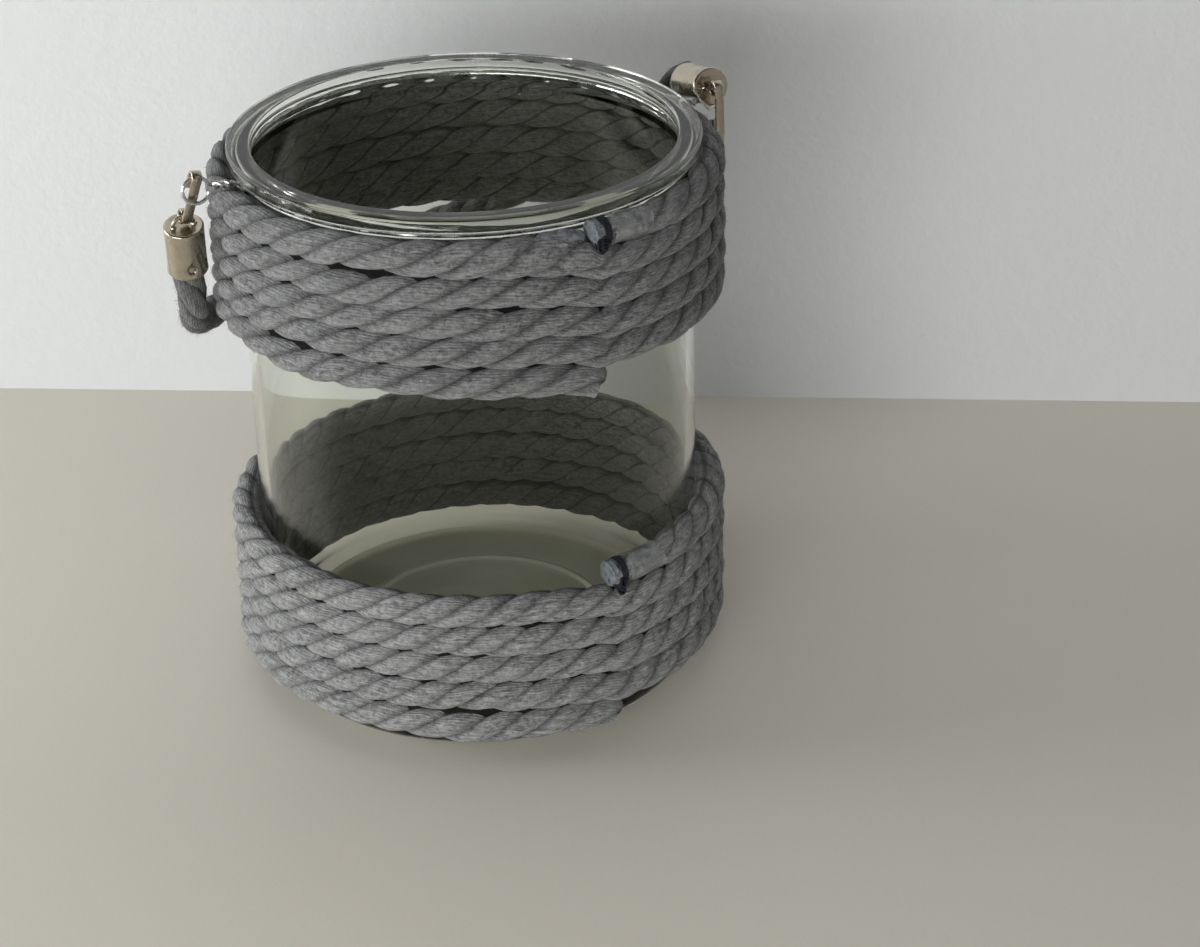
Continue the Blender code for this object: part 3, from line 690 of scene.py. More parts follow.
def strand_lines(path, radius, lay, shape, seed, start):
    """Centre lines of the three strands that are laid round a rope's path, and their sizes along it.

    shape gives the share of the full radius that the rope has at a share of the way along.
    """
    offset = radius * STRAND_REACH_SHARE
    lines = [[], [], []]
    radii = [[], [], []]
    travelled = start
    side = UP
    shift = Vector((seed * 7.31, seed * 3.17, 0))
    for index, place in enumerate(path):
        before = path[max(index - 1, 0)]
        after = path[min(index + 1, len(path) - 1)]
        along = (after - before).normalized()
        side = square_to(along, side)
        depth = along.cross(side)
        if index:
            travelled += (place - before).length if index == len(path) - 1 else (after - before).length / 2
        share = shape(index / (len(path) - 1))
        uneven = noise.noise(shift + Vector((travelled * 26, 0, 0)))
        for strand in range(3):
            turn = LAY_HAND * tau * (travelled / lay + uneven * LAY_UNEVEN_TURNS) + tau * strand / 3
            swell = 1 + STRAND_SWELL_SHARE * noise.noise(shift + Vector((travelled * 60, strand * 9.7, 4)))
            spread = 1 + STRAND_SPREAD_SHARE * noise.noise(shift + Vector((travelled * 38, strand * 5.3, 8)))
            reach = offset * share * spread
            lines[strand].append(place + reach * (cos(turn) * side + sin(turn) * depth))
            radii[strand].append(swell * share)
    return lines, radii


def fibres(name, path, lines, radii, radius, count, material, seed):
    """Fine loose fibres on a rope's outside, each a bent three-sided sliver."""
    pick = Random(seed)
    made = bmesh.new()
    for _ in range(count):
        strand = pick.randrange(len(lines))
        line = lines[strand]
        index = pick.randrange(1, len(line) - 1)
        along = (line[index + 1] - line[index - 1]).normalized()
        loose = any_vector(pick)
        out = square_to(along, (line[index] - path[index]).normalized() + 0.9 * loose)
        side = along.cross(out)
        root = line[index].lerp(line[index + 1], pick.random()) + out * radius * radii[strand][index] * 0.96
        reach = FIBRE_LENGTH * pick.uniform(0.35, 1.3)
        lean = along * pick.uniform(-1.1, 1.1) + side * pick.uniform(-0.9, 0.9)
        middle = root + reach * (0.34 * out + 0.4 * lean)
        tip = root + reach * (0.42 * out + 0.9 * lean + 0.2 * loose)
        rings = []
        for centre, thickness in ((root, FIBRE_RADIUS), (middle, FIBRE_RADIUS * 0.8)):
            rings.append([made.verts.new(centre + thickness * (cos(turn) * along + sin(turn) * side))
                          for turn in (0, tau / 3, 2 * tau / 3)])
        point = made.verts.new(tip)
        for corner in range(3):
            after = (corner + 1) % 3
            made.faces.new((rings[0][corner], rings[0][after], rings[1][after], rings[1][corner]))
            made.faces.new((rings[1][corner], rings[1][after], point))
        made.faces.new(rings[0][::-1])
    mesh = bpy.data.meshes.new(name)
    made.to_mesh(mesh)
    made.free()
    mesh.shade_smooth()
    mesh.materials.append(material)
    return placed(name, mesh)


def strands(name, path, lines, radii, fullness, material, pressed):
    """Strands flattened on each other, with a UV map that runs along them.

    crest is 1 on the rope's outside and low in the grooves; the other two marks are 1 on the side that lies
    on the glass. All three set where the cotton gets painted shade.
    """
    made = bmesh.new()
    uv = made.loops.layers.uv.new("UVMap")
    crest = made.verts.layers.float.new("crest")
    glass_shade = made.verts.layers.float.new("glass_shade")
    facing = made.verts.layers.float.new("facing")
    outside = fullness * (STRAND_REACH_SHARE + STRAND_DEPTH_SHARE)
    for line, sizes in zip(lines, radii):
        rings, reach, travelled = [], 0.0, []
        for index, place in enumerate(line):
            before = line[max(index - 1, 0)]
            along = (line[min(index + 1, len(line) - 1)] - before).normalized()
            out = square_to(along, place - path[index])
            side = along.cross(out)
            deep = fullness * sizes[index] * STRAND_DEPTH_SHARE
            wide = fullness * sizes[index] * STRAND_WIDTH_SHARE
            ring = []
            for corner in range(STRAND_SIDES):
                angle = tau * corner / STRAND_SIDES - pi
                bumpy = noise.noise(900 * place + Vector((cos(angle) * 1.6, sin(angle) * 1.6, 0)))
                lump = 1 + STRAND_LUMP_SHARE * bumpy
                spot = place + lump * (deep * cos(angle) * out + wide * sin(angle) * side)
                high = (spot - path[index]).length / (outside * sizes[index]) - CREST_START_SHARE
                vert = made.verts.new(pressed(spot, path[index], index))
                vert[crest] = max(0.0, min(1.0, high / (1 - CREST_START_SHARE)))
                inward = path[index].xy.length - spot.xy.length
                vert[glass_shade] = max(0.0, min(1.0, inward / GLASS_SHADE_DEPTH))
                vert[facing] = max(0.0, min(1.0, inward / FACING_DEPTH))
                ring.append(vert)
            if index:
                reach += (place - line[index - 1]).length / UV_LENGTH
            rings.append(ring)
            travelled.append(reach)
        for index, (first, second) in enumerate(zip(rings, rings[1:])):
            for corner in range(STRAND_SIDES):
                after = (corner + 1) % STRAND_SIDES
                face = made.faces.new((first[corner], first[after], second[after], second[corner]))
                marks = ((corner, 0), (corner + 1, 0), (corner + 1, 1), (corner, 1))
                for loop, (column, row) in zip(face.loops, marks):
                    loop[uv].uv = (column / STRAND_SIDES, travelled[index + row])
        made.faces.new(rings[0])
        made.faces.new(rings[-1])
    return finish_mesh(name, made, material, angle=radians(60))


def laid_rope(name, path, values, lay, seed, fibre_count, colour, shape=lambda share: 1, start=0.0,
              shade_on_glass=0.0, pressed=lambda spot, place, index: spot):
    """A three-strand rope along a path, with its loose fibres, and painted shade in its grooves and on the
    side that lies on the glass.
    """
    slant = LAY_HAND * YARNS_ROUND * YARN_LEAN * UV_LENGTH / lay
    cotton = cotton_material(f"cotton_of_{name}", colour, slant, shade_on_glass)
    loose = fibre_material(f"fibres_of_{name}", colour)
    lines, radii = strand_lines(path, values.fullness, lay, shape, seed, start)
    rope = strands(name, path, lines, radii, values.fullness, cotton, pressed)
    fluff = fibres(f"{name}_fibres", path, lines, radii, values.fullness * STRAND_DEPTH_SHARE, fibre_count,
                   loose, seed)
    return rope, fluff


def pressed_row(path, fullness):
    """How a winding's cotton is flattened by the next row and the glass, or swells up to the lip."""
    under_lip = path[-1].z > JAR_HEIGHT / 2
    last_turn = len(path) * (1 - 1 / WINDING_TURNS)
    outside = (STRAND_REACH_SHARE + STRAND_DEPTH_SHARE) * fullness

    def pressed(spot, place, index):
        lift = spot.z - place.z
        spread = ROW_SPREAD
        if lift > 0 and index > last_turn:
            spread = max(1.0, min(MOST_SPREAD, (TOP_ROW_REACH - place.z) / outside)) if under_lip else 1.0
        spot.z = place.z + lift * spread
        reach = sqrt(spot.x ** 2 + spot.y ** 2)
        if reach < LIP_RADIUS + LIP_MARGIN:
            spot.z = min(spot.z, UNDER_LIP)
        if reach < BODY_RADIUS + GLASS_CLEARANCE:
            spot.xy *= (BODY_RADIUS + GLASS_CLEARANCE) / reach
        return spot

    return pressed


def winding_point(turns, form):
    """Place on a winding's centre line; it climbs clockwise, seen from above."""
    height, rise, angle, lift = form
    angle -= tau * turns
    risen = min(1, turns % 1 / LIFT_END_SHARE)
    height += rise * turns + lift * sin(pi * sqrt(risen))
    return Vector((WINDING_RADIUS * cos(angle), WINDING_RADIUS * sin(angle), height))


def winding_path(form, lay, seed):
    """Dense points of a winding; its rows sway a little and part where the gaps are."""
    steps = round(WINDING_TURNS * tau * WINDING_RADIUS / lay * POINTS_PER_LAY)
    path = []
    for step in range(steps + 1):
        turns = WINDING_TURNS * step / steps
        place = winding_point(turns, form)
        sway = noise.noise(Vector((turns * 5.3, seed * 4.1, 0)))
        lean = noise.noise(Vector((turns * 7.9, seed * 4.1, 5)))
        settled = min(1, (WINDING_TURNS - turns) * SETTLED_PER_TURN,
                      turns * SETTLED_PER_TURN + START_SWAY_SHARE)
        if form is UPPER_FORM and turns < 1:
            place.z += FIRST_ROW_RISE * sin(pi * turns) ** 4
        for gap, half, width in (UPPER_GAPS if form is UPPER_FORM else LOWER_GAPS):
            place.z -= half * exp(-((turns - gap) / width) ** 2)
            place.z += half * exp(-((turns - gap - 1) / width) ** 2)
        path.append(place + settled * (ROW_SWAY * sway * UP + ROW_LEAN * lean * outward(place)))
    return path


def frame_along(axis, across, origin):
    """Matrix whose Z is the given axis and whose X lies nearest to across."""
    up = axis.normalized()
    side = square_to(up, across)
    turn = Matrix((side, up.cross(side), up)).transposed()
    return Matrix.Translation(origin) @ turn.to_4x4()


def leaning(outward_sign, lean, back):
    """Downward direction that leans sideways by lean and backwards by back."""
    return Vector((outward_sign * sin(lean), cos(lean) * sin(back), -cos(lean) * cos(back)))


def fitting_places():
    """Frames of the two caps and the two hooks, as in the solids."""
    across = Vector((1, 0, 0))
    left_down = leaning(*LEFT_DOWN)
    left_eye = LEFT_SEAT + HOOK_LENGTH * left_down
    left_axis = leaning(*LEFT_CAP_WAY)
    slide = LEFT_DOWN[1] + LEFT_CAP_WAY[1]
    left_turn = frame_along(-left_axis, across, Vector((0, 0, 0)))
    on_bail = left_turn @ (BAIL_RADIUS * Vector((sin(slide), 0, cos(slide))))
    left_cap = Matrix.Translation(left_eye - on_bail) @ left_turn
    right_axis = Vector((-sin(RIGHT_CAP_LEAN), cos(RIGHT_CAP_LEAN) * cos(RIGHT_CAP_DIP),
                         -cos(RIGHT_CAP_LEAN) * sin(RIGHT_CAP_DIP)))
    right_turn = frame_along(-right_axis, across, Vector((0, 0, 0)))
    right_cap = Matrix.Translation(RIGHT_EYE + BAIL_RADIUS * right_axis) @ right_turn
    left_hook = frame_along(-left_down, across, left_eye)
    right_across = Vector((-cos(RIGHT_HOOK_TURN), -sin(RIGHT_HOOK_TURN), 0))
    right_hook = frame_along(RIGHT_LOW - RIGHT_EYE, right_across, RIGHT_EYE)
    return left_cap, right_cap, left_hook, right_hook


def handle_path():
    """The handle rope's centre line from one cap's mouth to the other's, and its ends inside them."""
    left_cap, right_cap, _, _ = fitting_places()

    def below(place, depth):
        return place @ Vector((0, 0, -depth))

    points = [below(left_cap, CAP_LENGTH), below(left_cap, CAP_LENGTH + ROPE_STRAIGHT)]
    points += [Vector((0, 0, LEFT_SEAT.z)) + BODY_RADIUS * Vector(shares) for shares in HANDLE_ROUTE_SHARES]
    points += [below(right_cap, CAP_LENGTH + ROPE_STRAIGHT), below(right_cap, CAP_LENGTH)]
    ends = [[below(place, CAP_LENGTH - INSIDE_STEP * step) for step in range(1, INSIDE_STEPS + 1)]
            for place in (left_cap, right_cap)]
    return smooth_points(points, 12), ends


def dark_core(name, path, material):
    """The cotton deep between the rows, which closes the gaps there; its colour is painted shade."""
    made = bmesh.new()
    rings = []
    for index in range(0, len(path), CORE_STEP):
        place = path[index]
        out = outward(place)
        grown = min(1, index / CORE_START_POINTS, (len(path) - 1 - index) / CORE_END_POINTS)
        ends = CORE_END_SHARE + (1 - CORE_END_SHARE) * grown
        turns = WINDING_TURNS * index / (len(path) - 1)
        above = CORE_EDGE if turns > WINDING_TURNS - 1 else CORE_RISE
        below = CORE_EDGE if turns < 1 else CORE_RISE
        ring = []
        for angle in (tau * side / CORE_SIDES for side in range(CORE_SIDES)):
            rise = (above if sin(angle) > 0 else below) * sin(angle)
            ring.append(made.verts.new(place + ends * (CORE_DEPTH * cos(angle) * out + rise * UP)))
        rings.append(ring)
    skin(made, rings)
    return finish_mesh(name, made, material)


def whipping(name, path, material, seed):
    """Thread wound round a rope's end, with a knot and two short loose tails."""
    pick = Random(seed)
    along = (path[-1] - path[0]).normalized()
    side = square_to(along, outward(path[0]))
    up = along.cross(side)
    line = []
    steps = round(THREAD_TURNS * POINTS_PER_WRAP)
    for step in range(steps + 1):
        share = step / steps
        angle = tau * THREAD_TURNS * share
        uneven = 0.6 + 0.5 * noise.noise(Vector((angle * 0.7, seed, 0)))
        reach = THREAD_SEAT_RADIUS + THREAD_RADIUS * uneven
        line.append(path[0].lerp(path[-1], share) + reach * (cos(angle) * side + sin(angle) * up))
    tails = []
    for end, way in ((line[0], -along), (line[-1], along)):
        tail = [end]
        for step in range(1, TAIL_STEPS + 1):
            curl = any_vector(pick) * 0.35
            droop = 0.9 * step / TAIL_STEPS * UP
            tail.append(tail[-1] + TAIL_STEP * (0.5 * way + 0.5 * side - droop + curl))
        tails.append(smooth_points(tail, 3))
    low_front = 0.80 * side - 0.6 * UP
    middle = path[0] - KNOT_SETBACK * along + (THREAD_SEAT_RADIUS + KNOT_LIFT) * low_front
    noise.seed_set(KNOT_SEED)
    knot = [middle + KNOT_SPREAD * noise.noise_vector(Vector((step * 0.33, seed * 3.3, 0)))
            for step in range(KNOT_POINTS)]
    return tube(name, [line, smooth_points(knot, 3)] + tails, THREAD_RADIUS, material)


def crinkled_sleeve(name, path, material, seed):
    """Thin tape wrapped round a rope's end: crinkled, with uneven edges and an overlapping lap."""
    made = bmesh.new()
    along = (path[-1] - path[0]).normalized()
    side = square_to(along, outward(path[0]))
    up = along.cross(side)
    rings = []
    rows = [(index / (len(path) - 1), place) for index, place in enumerate(path)]
    for thickness, order in ((TAPE_THICKNESS, rows), (0.0, rows[::-1])):
        for share, place in order:
            ring = []
            for corner in range(TAPE_SIDES):
                angle = tau * corner / TAPE_SIDES
                spot = Vector((cos(angle) * 2.4, sin(angle) * 2.4, share * 4.0 + seed))
                lap = TAPE_LAP if (corner / TAPE_SIDES + 0.05 * share) % 1 < TAPE_LAP_SHARE else 0
                reach = TAPE_SEAT_RADIUS + thickness + lap + TAPE_CRINKLE * noise.noise(spot * 1.7)
                ragged = TAPE_RAGGED_EDGE * noise.noise(spot) * (2 * share - 1) ** 4
                out = cos(angle) * side + sin(angle) * up
                ring.append(made.verts.new(place + ragged * along + reach * out))
            rings.append(ring)
    skin(made, rings, endless=True)
    return finish_mesh(name, made, material, angle=radians(60))


def sealed_tip(name, base, way, material, seed):
    """The glued end of a rope: a short lumpy plug."""
    made = bmesh.new()
    place = frame_along(way, UP, base + way * TIP_LENGTH / 2)
    bmesh.ops.create_uvsphere(made, u_segments=36, v_segments=20, radius=1)
    for vert in made.verts:
        spot = vert.co.copy()
        flat = Vector((spot.x, spot.y, 0))
        full = min(1, 1.28 * flat.length) / max(flat.length, TINY)
        lump = 1 + 0.13 * noise.noise(spot * 2.1 + Vector((seed, 0, 0))) + 0.05 * noise.noise(spot * 7)
        ridge = 0.16 * noise.noise(Vector((spot.x * 2.6, spot.y * 2.6, seed)))
        vert.co = Vector((flat.x * full * TIP_RADIUS * lump, flat.y * full * TIP_RADIUS * lump,
                          (spot.z + ridge) * TIP_LENGTH / 2))
    bmesh.ops.transform(made, matrix=place, verts=made.verts)
    return finish_mesh(name, made, material, angle=radians(80))


def glue_smear(name, form, material):
    """Dried glue left of the upper end, between the lip and the row below it."""
    made = bmesh.new()
    bmesh.ops.create_uvsphere(made, u_segments=48, v_segments=24, radius=1)
    start = form[2] - SMEAR_SETBACK
    for vert in made.verts:
        spot = vert.co
        lump = 1 + 0.25 * noise.noise(spot * 1.9) + 0.12 * noise.noise(spot * 5.1)
        angle = start - SMEAR_HALF_LENGTH * (1 + spot.x) / WINDING_RADIUS
        narrow = 1 - 0.35 * (1 + spot.x) / 2
        reach = WINDING_RADIUS - SMEAR_INSET + SMEAR_DEPTH * spot.y * lump
        height = SMEAR_HEIGHT + SMEAR_TILT * spot.x + SMEAR_RISE * spot.z * lump * narrow
        vert.co = (reach * cos(angle), reach * sin(angle), min(height, UNDER_LIP))
    return finish_mesh(name, made, material, angle=radians(80))


def strip_hook(name, matrix, material):
    """A hook of flat strip with softened edges: an eye, a leg and a return bend."""
    line = list(arc((0, 0), EYE_RADIUS, pi + HOOK_EYE_SWEEP, pi, 36))
    line += arc((0, HOOK_LENGTH), BEND_RADIUS, pi, 0, 22)
    line += [(BEND_RADIUS, HOOK_LENGTH - HOOK_RETURN)]
    made = bmesh.new()
    half, thick, soft = STRIP_WIDTH / 2, STRIP_THICKNESS / 2, STRIP_EDGE
    section = [(-half + soft, thick), (half - soft, thick), (half, thick - soft), (half, soft - thick),
               (half - soft, -thick), (soft - half, -thick), (-half, soft - thick), (-half, thick - soft)]
    columns = []
    for index, place in enumerate(line):
        before = Vector(line[max(index - 1, 0)])
        after = Vector(line[min(index + 1, len(line) - 1)])
        way = (after - before).normalized()
        normal = Vector((-way.y, way.x))
        columns.append([made.verts.new((side, place[0] + reach * normal.x, place[1] + reach * normal.y))
                        for side, reach in section])
    skin(made, columns)
    bmesh.ops.transform(made, matrix=matrix, verts=made.verts)
    return finish_mesh(name, made, material, angle=radians(50))


def end_cap(name, matrix, material, dark):
    """A drawn metal cup with a dished face, a rolled mouth, the bail's two feet and a staked dent."""
    outline = [(radius, -depth) for radius, depth in CAP_FACE]
    outline += arc((CAP_RADIUS - CAP_CORNER, -CAP_CORNER), CAP_CORNER, pi / 2, 0, 8)
    rows = 30
    for step in range(1, rows):
        share = step / rows
        outline.append((CAP_RADIUS - CAP_WAIST * sin(pi * share), -CAP_CORNER - CAP_SIDE * share))
    outline += arc((CAP_RADIUS - CAP_MOUTH_INSET, -CAP_LENGTH + CAP_MOUTH_ROUND), CAP_MOUTH_ROUND, 0, -pi, 8)
    outline += [(CAP_RADIUS - CAP_WALL, -CAP_FLOOR), (0, -CAP_FLOOR)]
    made = turned(outline, 96)
    stake = Vector((0, -CAP_RADIUS, STAKE_SETBACK - CAP_LENGTH))
    for vert in made.verts:
        away = (vert.co - stake).length
        if away < DENT_REACH:
            vert.co -= outward(vert.co) * (DENT_DEPTH * exp(-(away / DENT_WIDTH) ** 2)
                                           + STAKE_DEPTH * exp(-(away / STAKE_WIDTH) ** 4))
    for side in (-1, 1):
        foot = bmesh.ops.create_cone(made, segments=20, radius1=BAIL_FOOT_RADIUS, cap_ends=True,
                                     radius2=BAIL_FOOT_TOP_RADIUS, depth=BAIL_FOOT_HEIGHT)
        bmesh.ops.translate(made, verts=foot["verts"], vec=(side * BAIL_RADIUS, 0, BAIL_FOOT_RISE))
    bmesh.ops.transform(made, matrix=matrix, verts=made.verts)
    cap = finish_mesh(name, made, material, angle=radians(40))
    cap.data.materials.append(dark)
    # Faces at the bottom of the stake's hole get painted shade.
    deep = matrix @ (stake + Vector((0, HOLE_DEPTH, 0)))
    for face in cap.data.polygons:
        if (face.center - deep).length < HOLE_RADIUS:
            face.material_index = 1
    return cap


# Operators

class BuildStage(bpy.types.Operator):
    """Set up the floor, the wall, the soft lights and the camera."""
    bl_idname = "jar.stage"
    bl_label = "Stage"

    def execute(self, context):
        values = context.scene.jar_stage
        made = bmesh.new()
        bmesh.ops.create_grid(made, x_segments=1, y_segments=1, size=FLOOR_HALF_SIZE)
        camera_turn = Matrix.Rotation(CAMERA_TURN, 4, "Z")
        bmesh.ops.transform(made, matrix=camera_turn, verts=made.verts)
        table = painted_material("matt_table_top", values.floor, 900, 0.00003, 0.5)
        floor = finish_mesh("floor", made, table, recalculate=False)
        made = bmesh.new()
        bmesh.ops.create_grid(made, x_segments=1, y_segments=1, size=WALL_HALF_SIZE)
        rise = (Matrix.Translation((0, values.wall_distance, WALL_MIDDLE_HEIGHT))
                @ Matrix.Rotation(WALL_TURN, 4, "Z") @ Matrix.Rotation(pi / 2, 4, "X"))
        bmesh.ops.transform(made, matrix=camera_turn @ rise, verts=made.verts)
        wall = finish_mesh("wall", made, wall_material(values.wall), recalculate=False)

        for name, place, aim, size, power, colour, mirrored in LAMPS:
            light = bpy.data.lights.new(name, "AREA")
            light.shape = "RECTANGLE"
            light.size, light.size_y = size
            light.energy = power
            light.color = colour
            item = placed(name, light)
            way = Vector(aim) - Vector(place)
            facing = way.to_track_quat("-Z", "Y").to_matrix().to_4x4()
            item.matrix_world = camera_turn @ Matrix.Translation(place) @ facing
            item.visible_glossy = mirrored
        world = bpy.data.worlds.new("daylight")
        world.use_nodes = True
        sky = world.node_tree.nodes["Background"]
        sky.inputs["Color"].default_value = SKY_COLOUR
        sky.inputs["Strength"].default_value = values.daylight
        context.scene.world = world
        context.scene.view_settings.view_transform = "Standard"
        context.scene.view_settings.look = "None"

        camera = bpy.data.cameras.new("camera")
        camera.sensor_fit = "HORIZONTAL"
        camera.sensor_width = SENSOR_WIDTH
        camera.lens = FOCAL_PIXELS / PHOTO_WIDTH * SENSOR_WIDTH
        camera.shift_x = CENTRE_SHIFT_PIXELS[0] / PHOTO_WIDTH
        camera.shift_y = CENTRE_SHIFT_PIXELS[1] / PHOTO_WIDTH
        camera.clip_start = NEAR_LIMIT
        forward = Vector((0, cos(CAMERA_PITCH), -sin(CAMERA_PITCH)))
        up = Vector((0, sin(CAMERA_PITCH), cos(CAMERA_PITCH)))
        right = Vector((1, 0, 0))
        rolled_right = cos(CAMERA_ROLL) * right + sin(CAMERA_ROLL) * up
        rolled_up = -sin(CAMERA_ROLL) * right + cos(CAMERA_ROLL) * up
        turn = Matrix((rolled_right, rolled_up, -forward)).transposed().to_4x4()
        item = placed("camera", camera)
        item.matrix_world = camera_turn @ Matrix.Translation(CAMERA_PLACE) @ turn
        context.scene.camera = item
        return {"FINISHED"}


class BuildJar(bpy.types.Operator):
    """Make the jar: a fine-faced turning of pressed glass."""
    bl_idname = "jar.glass"
    bl_label = "Glass jar"

    def execute(self, context):
        values = context.scene.jar_glass
        inner = BODY_RADIUS - WALL
        neck_top = JAR_HEIGHT - LIP_HEIGHT
        neck_bottom = neck_top - NECK_HEIGHT
        mouth_bottom = JAR_HEIGHT - MOUTH_DEPTH
        heel = (BODY_RADIUS - HEEL_RADIUS, HEEL_RADIUS)
        outline = [(0, 0)] + list(arc(heel, HEEL_RADIUS, -pi / 2, 0, 12))
        outline += [(BODY_RADIUS, neck_bottom - SHOULDER_HEIGHT)]
        fall = BODY_RADIUS - NECK_RADIUS
        for step in range(1, 8):
            share = step / 8
            outline.append((NECK_RADIUS + fall * (1 + cos(pi * share)) / 2,
                            neck_bottom - SHOULDER_HEIGHT * (1 - share)))
        outline += [(NECK_RADIUS, neck_bottom), (NECK_RADIUS, neck_top - NECK_BEVEL),
                    (NECK_RADIUS + NECK_BEVEL, neck_top)]
        outline += arc((LIP_RADIUS - LIP_ROUND, neck_top + LIP_ROUND), LIP_ROUND, -pi / 2, 0, 6)
        outline += arc((LIP_RADIUS - LIP_ROUND, JAR_HEIGHT - LIP_ROUND), LIP_ROUND, 0, pi / 2, 8)
        outline += arc((MOUTH_RADIUS + LIP_ROUND, JAR_HEIGHT - LIP_ROUND), LIP_ROUND, pi / 2, pi, 8)
        outline += [(MOUTH_RADIUS, mouth_bottom)]
        for step in range(1, 9):
            share = step / 8
            outline.append((MOUTH_RADIUS + (inner - MOUTH_RADIUS) * (1 - cos(pi * share)) / 2,
                            mouth_bottom - SHOULDER_HEIGHT * share))
        corner = (inner - FLOOR_CORNER_RADIUS, FLOOR_THICKNESS + FLOOR_CORNER_RADIUS)
        outline += arc(corner, FLOOR_CORNER_RADIUS, 0, -pi / 2, 10)
        half = FLOOR_RING_WIDTH / 2
        for step in range(9):
            share = 1 - step / 4
            outline.append((FLOOR_RING_RADIUS + half * share,
                            FLOOR_THICKNESS + FLOOR_RING_HEIGHT * (1 + cos(pi * share)) / 2))
        for step in range(11, -1, -1):
            share = step / 12
            outline.append((share * (FLOOR_RING_RADIUS - half),
                            FLOOR_THICKNESS + FLOOR_DOME * (1 - share ** 2)))
        jar = finish_mesh("pressed_glass_jar", turned(outline, values.segments),
                          glass_material(values.tint), angle=radians(60))
        jar.data.materials.append(floor_glass_material())
        # The floor's faces get the floor glass with its painted light.
        for face in jar.data.polygons:
            in_floor = face.center.xy.length < inner - FLOOR_LIGHT_INSET
            if in_floor and FLOOR_THICKNESS / 2 < face.center.z < FLOOR_THICKNESS + FLOOR_LIGHT_HEIGHT:
                face.material_index = 1
        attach(jar, "jar")
        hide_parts("glass_jar")
        return {"FINISHED"}


class BuildWindings(bpy.types.Operator):
    """Wind both ropes, with the tape, thread and sealed tip at each top end."""
    bl_idname = "jar.windings"
    bl_label = "Rope windings"

    def execute(self, context):
        values = context.scene.jar_rope
        forms = (("upper", UPPER_FORM, values.upper_lay, 1, values.upper_colour),
                 ("lower", LOWER_FORM, values.lower_lay, 2, values.lower_colour))
        per_length = 1 / (tau * WINDING_RADIUS)
        bound = (THREAD_SETBACK + THREAD_WIDTH + TAPE_SPACING + TAPE_LENGTH) * per_length
        tape, thread, glue = tape_material(), thread_material(), tip_material()
        for prefix, form, lay, seed, colour in forms:
            path = winding_path(form, lay, seed)

            def drawn_in(share):
                free = 1 - bound / WINDING_TURNS - share
                grown = max(0, min(1, free * WINDING_TURNS / (DRAWN_RUN * per_length)))
                return DRAWN_SHARE + (1 - DRAWN_SHARE) * grown

            def near_end(start, width, steps, form=form):
                return [winding_point(WINDING_TURNS - (start + width * step / steps) * per_length, form)
                        for step in range(steps + 1)]

            rows = pressed_row(path, values.fullness)
            pieces = list(laid_rope(f"{prefix}_rope", path, values, lay, seed, WINDING_FIBRES, colour,
                                    drawn_in, shade_on_glass=1.0, pressed=rows))
            # The dark core's colour is painted shade: a twentieth of the rope's colour.
            shaded = fibre_material(f"shaded_cotton_{prefix}", times(colour, 0.05))
            pieces.append(dark_core(f"{prefix}_dark_core", path, shaded))
            for piece in pieces:
                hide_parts(f"{prefix}_winding")
            wrap = crinkled_sleeve(f"{prefix}_tape_wrap",
                                   near_end(THREAD_SETBACK + THREAD_WIDTH + TAPE_SPACING, TAPE_LENGTH, 16),
                                   tape, seed)
            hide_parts(f"{prefix}_end_tape")
            wound = whipping(f"{prefix}_whipping", near_end(THREAD_SETBACK, THREAD_WIDTH, 4), thread, seed)
            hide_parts(f"{prefix}_end_thread")
            end = winding_point(WINDING_TURNS, form)
            way = (end - winding_point(WINDING_TURNS - 0.004, form)).normalized()
            tip = sealed_tip(f"{prefix}_sealed_tip", end - TIP_SETBACK * way, way, glue, seed)
            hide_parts(f"{prefix}_winding")
            pieces.append(tip)
            if form is UPPER_FORM:
                smear = glue_smear("upper_glue_smear", form, glue)
                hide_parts("upper_winding")
                pieces.append(smear)
            for piece in pieces + [wrap, wound]:
                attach(piece, "jar")
        return {"FINISHED"}


class BuildFittings(bpy.types.Operator):
    """Finish the collar wires and bails, and make the hooks and caps."""
    bl_idname = "jar.fittings"
    bl_label = "Wire and fittings"

    def execute(self, context):
        values = context.scene.jar_fittings
        wire = plated_material("bright_iron_wire", values.wire, 0.22)
        nickel = plated_material("champagne_nickel", values.plating, 0.2)
        # Painted shade for the bottom of the stake's hole.
        dark = painted_material("staked_hole_shade", (0.02, 0.018, 0.016), 900, 0.0001, 0.8)
        for name in ("collar_front_wire", "collar_back_wire"):
            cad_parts[name].data.materials[0] = wire
        for name in ("left_bail", "right_bail"):
            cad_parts[name].data.materials[0] = nickel
        left_cap, right_cap, left_hook, right_hook = fitting_places()
        pieces = (("left_cap", end_cap("left_drawn_cap", left_cap, nickel, dark), "left_end"),
                  ("right_cap", end_cap("right_drawn_cap", right_cap, nickel, dark), "right_end"),
                  ("left_hook", strip_hook("left_strip_hook", left_hook, nickel), "left_end"),
                  ("right_hook", strip_hook("right_strip_hook", right_hook, nickel), "right_hook"))
        for node, piece, body in pieces:
            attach(piece, body)
            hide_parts(node)
        return {"FINISHED"}


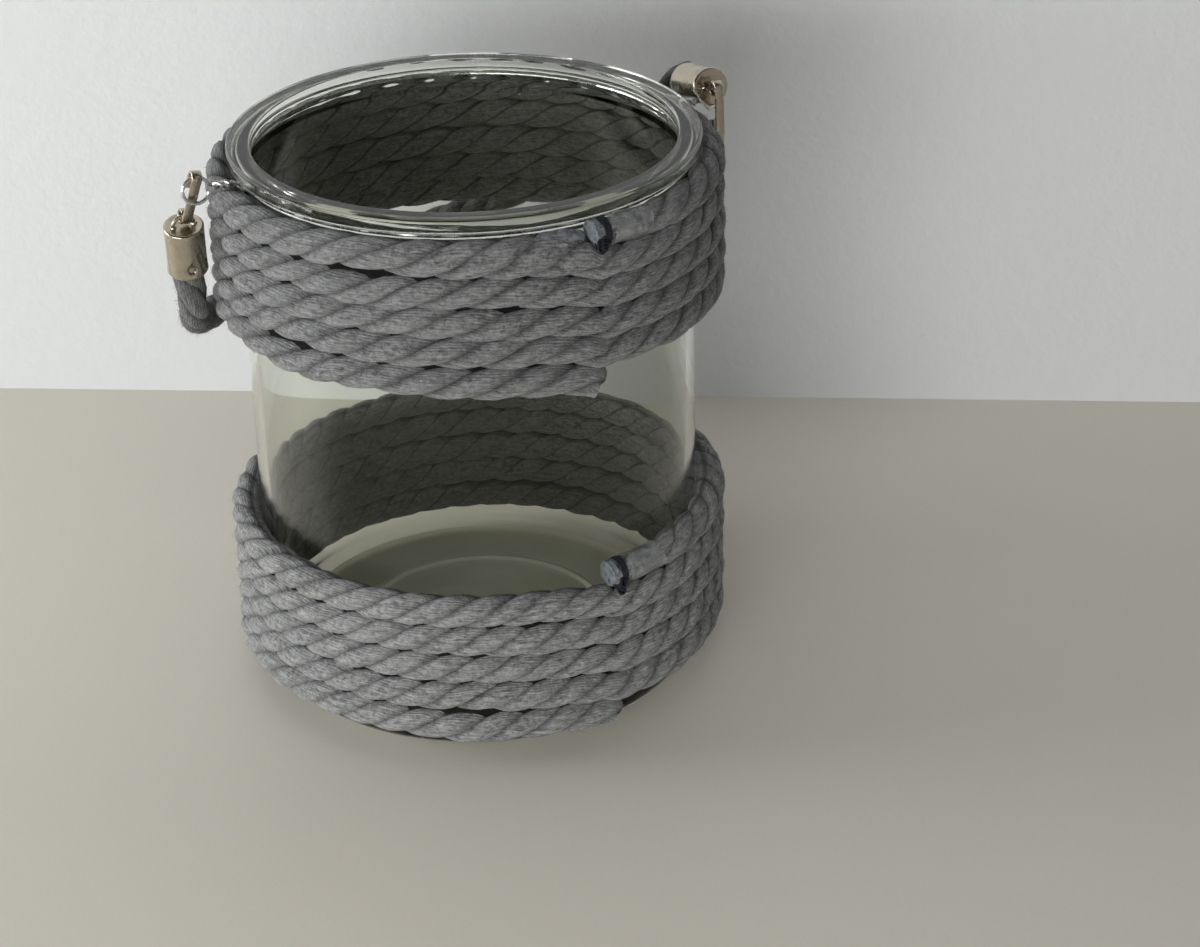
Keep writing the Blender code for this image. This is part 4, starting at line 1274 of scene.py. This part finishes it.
class BuildHandle(bpy.types.Operator):
    """Lay up the handle rope between the caps, in two halves."""
    bl_idname = "jar.handle"
    bl_label = "Rope handle"

    def execute(self, context):
        values = context.scene.jar_rope
        line, (left_inside, right_inside) = handle_path()
        dense, length = resampled(line, HANDLE_SPACING)
        middle = len(dense) // 2
        half_length = length * middle / (len(dense) - 1)
        first, second = dense[:middle + 1], dense[middle:]
        halves = (("left_handle_rope", left_inside[::-1] + first, first, ("left_end", "handle"), 0.0),
                  ("right_handle_rope", second + right_inside, second, ("handle", "right_end"),
                   half_length + INSIDE_STEP * INSIDE_STEPS))
        for name, shown, free, bodies, start in halves:
            pieces = laid_rope(name, shown, values, values.lower_lay, 5, HANDLE_FIBRES, values.handle_colour,
                               start=start)
            for piece in pieces:
                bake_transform(piece)
                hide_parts("handle_rope")
            reach = sum((b - a).length for a, b in zip(shown, shown[1:]))
        return {"FINISHED"}


class JarPanel(bpy.types.Panel):
    """Lists the jar's pieces and their sizes."""
    bl_idname = "VIEW3D_PT_jar"
    bl_label = "Rope-bound jar"
    bl_space_type = "VIEW_3D"
    bl_region_type = "UI"
    bl_category = "Jar"

    def draw(self, context):
        for operator in OPERATORS:
            self.layout.operator(operator.bl_idname)
        for name, group in GROUPS.items():
            values = getattr(context.scene, name)
            box = self.layout.box()
            for key in group.__annotations__:
                box.prop(values, key)


GROUPS = {"jar_glass": Glass, "jar_rope": Rope, "jar_fittings": Fittings, "jar_stage": Stage}
OPERATORS = (BuildStage, BuildHandle, BuildJar, BuildWindings, BuildFittings)


def register():
    """Register the groups, operators and panel."""
    for kind in (*GROUPS.values(), *OPERATORS, JarPanel):
        bpy.utils.register_class(kind)
    for name, group in GROUPS.items():
        setattr(bpy.types.Scene, name, PointerProperty(type=group))


def unregister():
    """Undo register."""
    for name in GROUPS:
        delattr(bpy.types.Scene, name)
    for kind in reversed((*GROUPS.values(), *OPERATORS, JarPanel)):
        bpy.utils.unregister_class(kind)


def main():
    """Build every piece."""
    register()
    bpy.ops.jar.stage()
    bpy.ops.jar.handle()
    bpy.ops.jar.glass()
    bpy.ops.jar.windings()
    bpy.ops.jar.fittings()


if __name__ == "__main__":
    main()
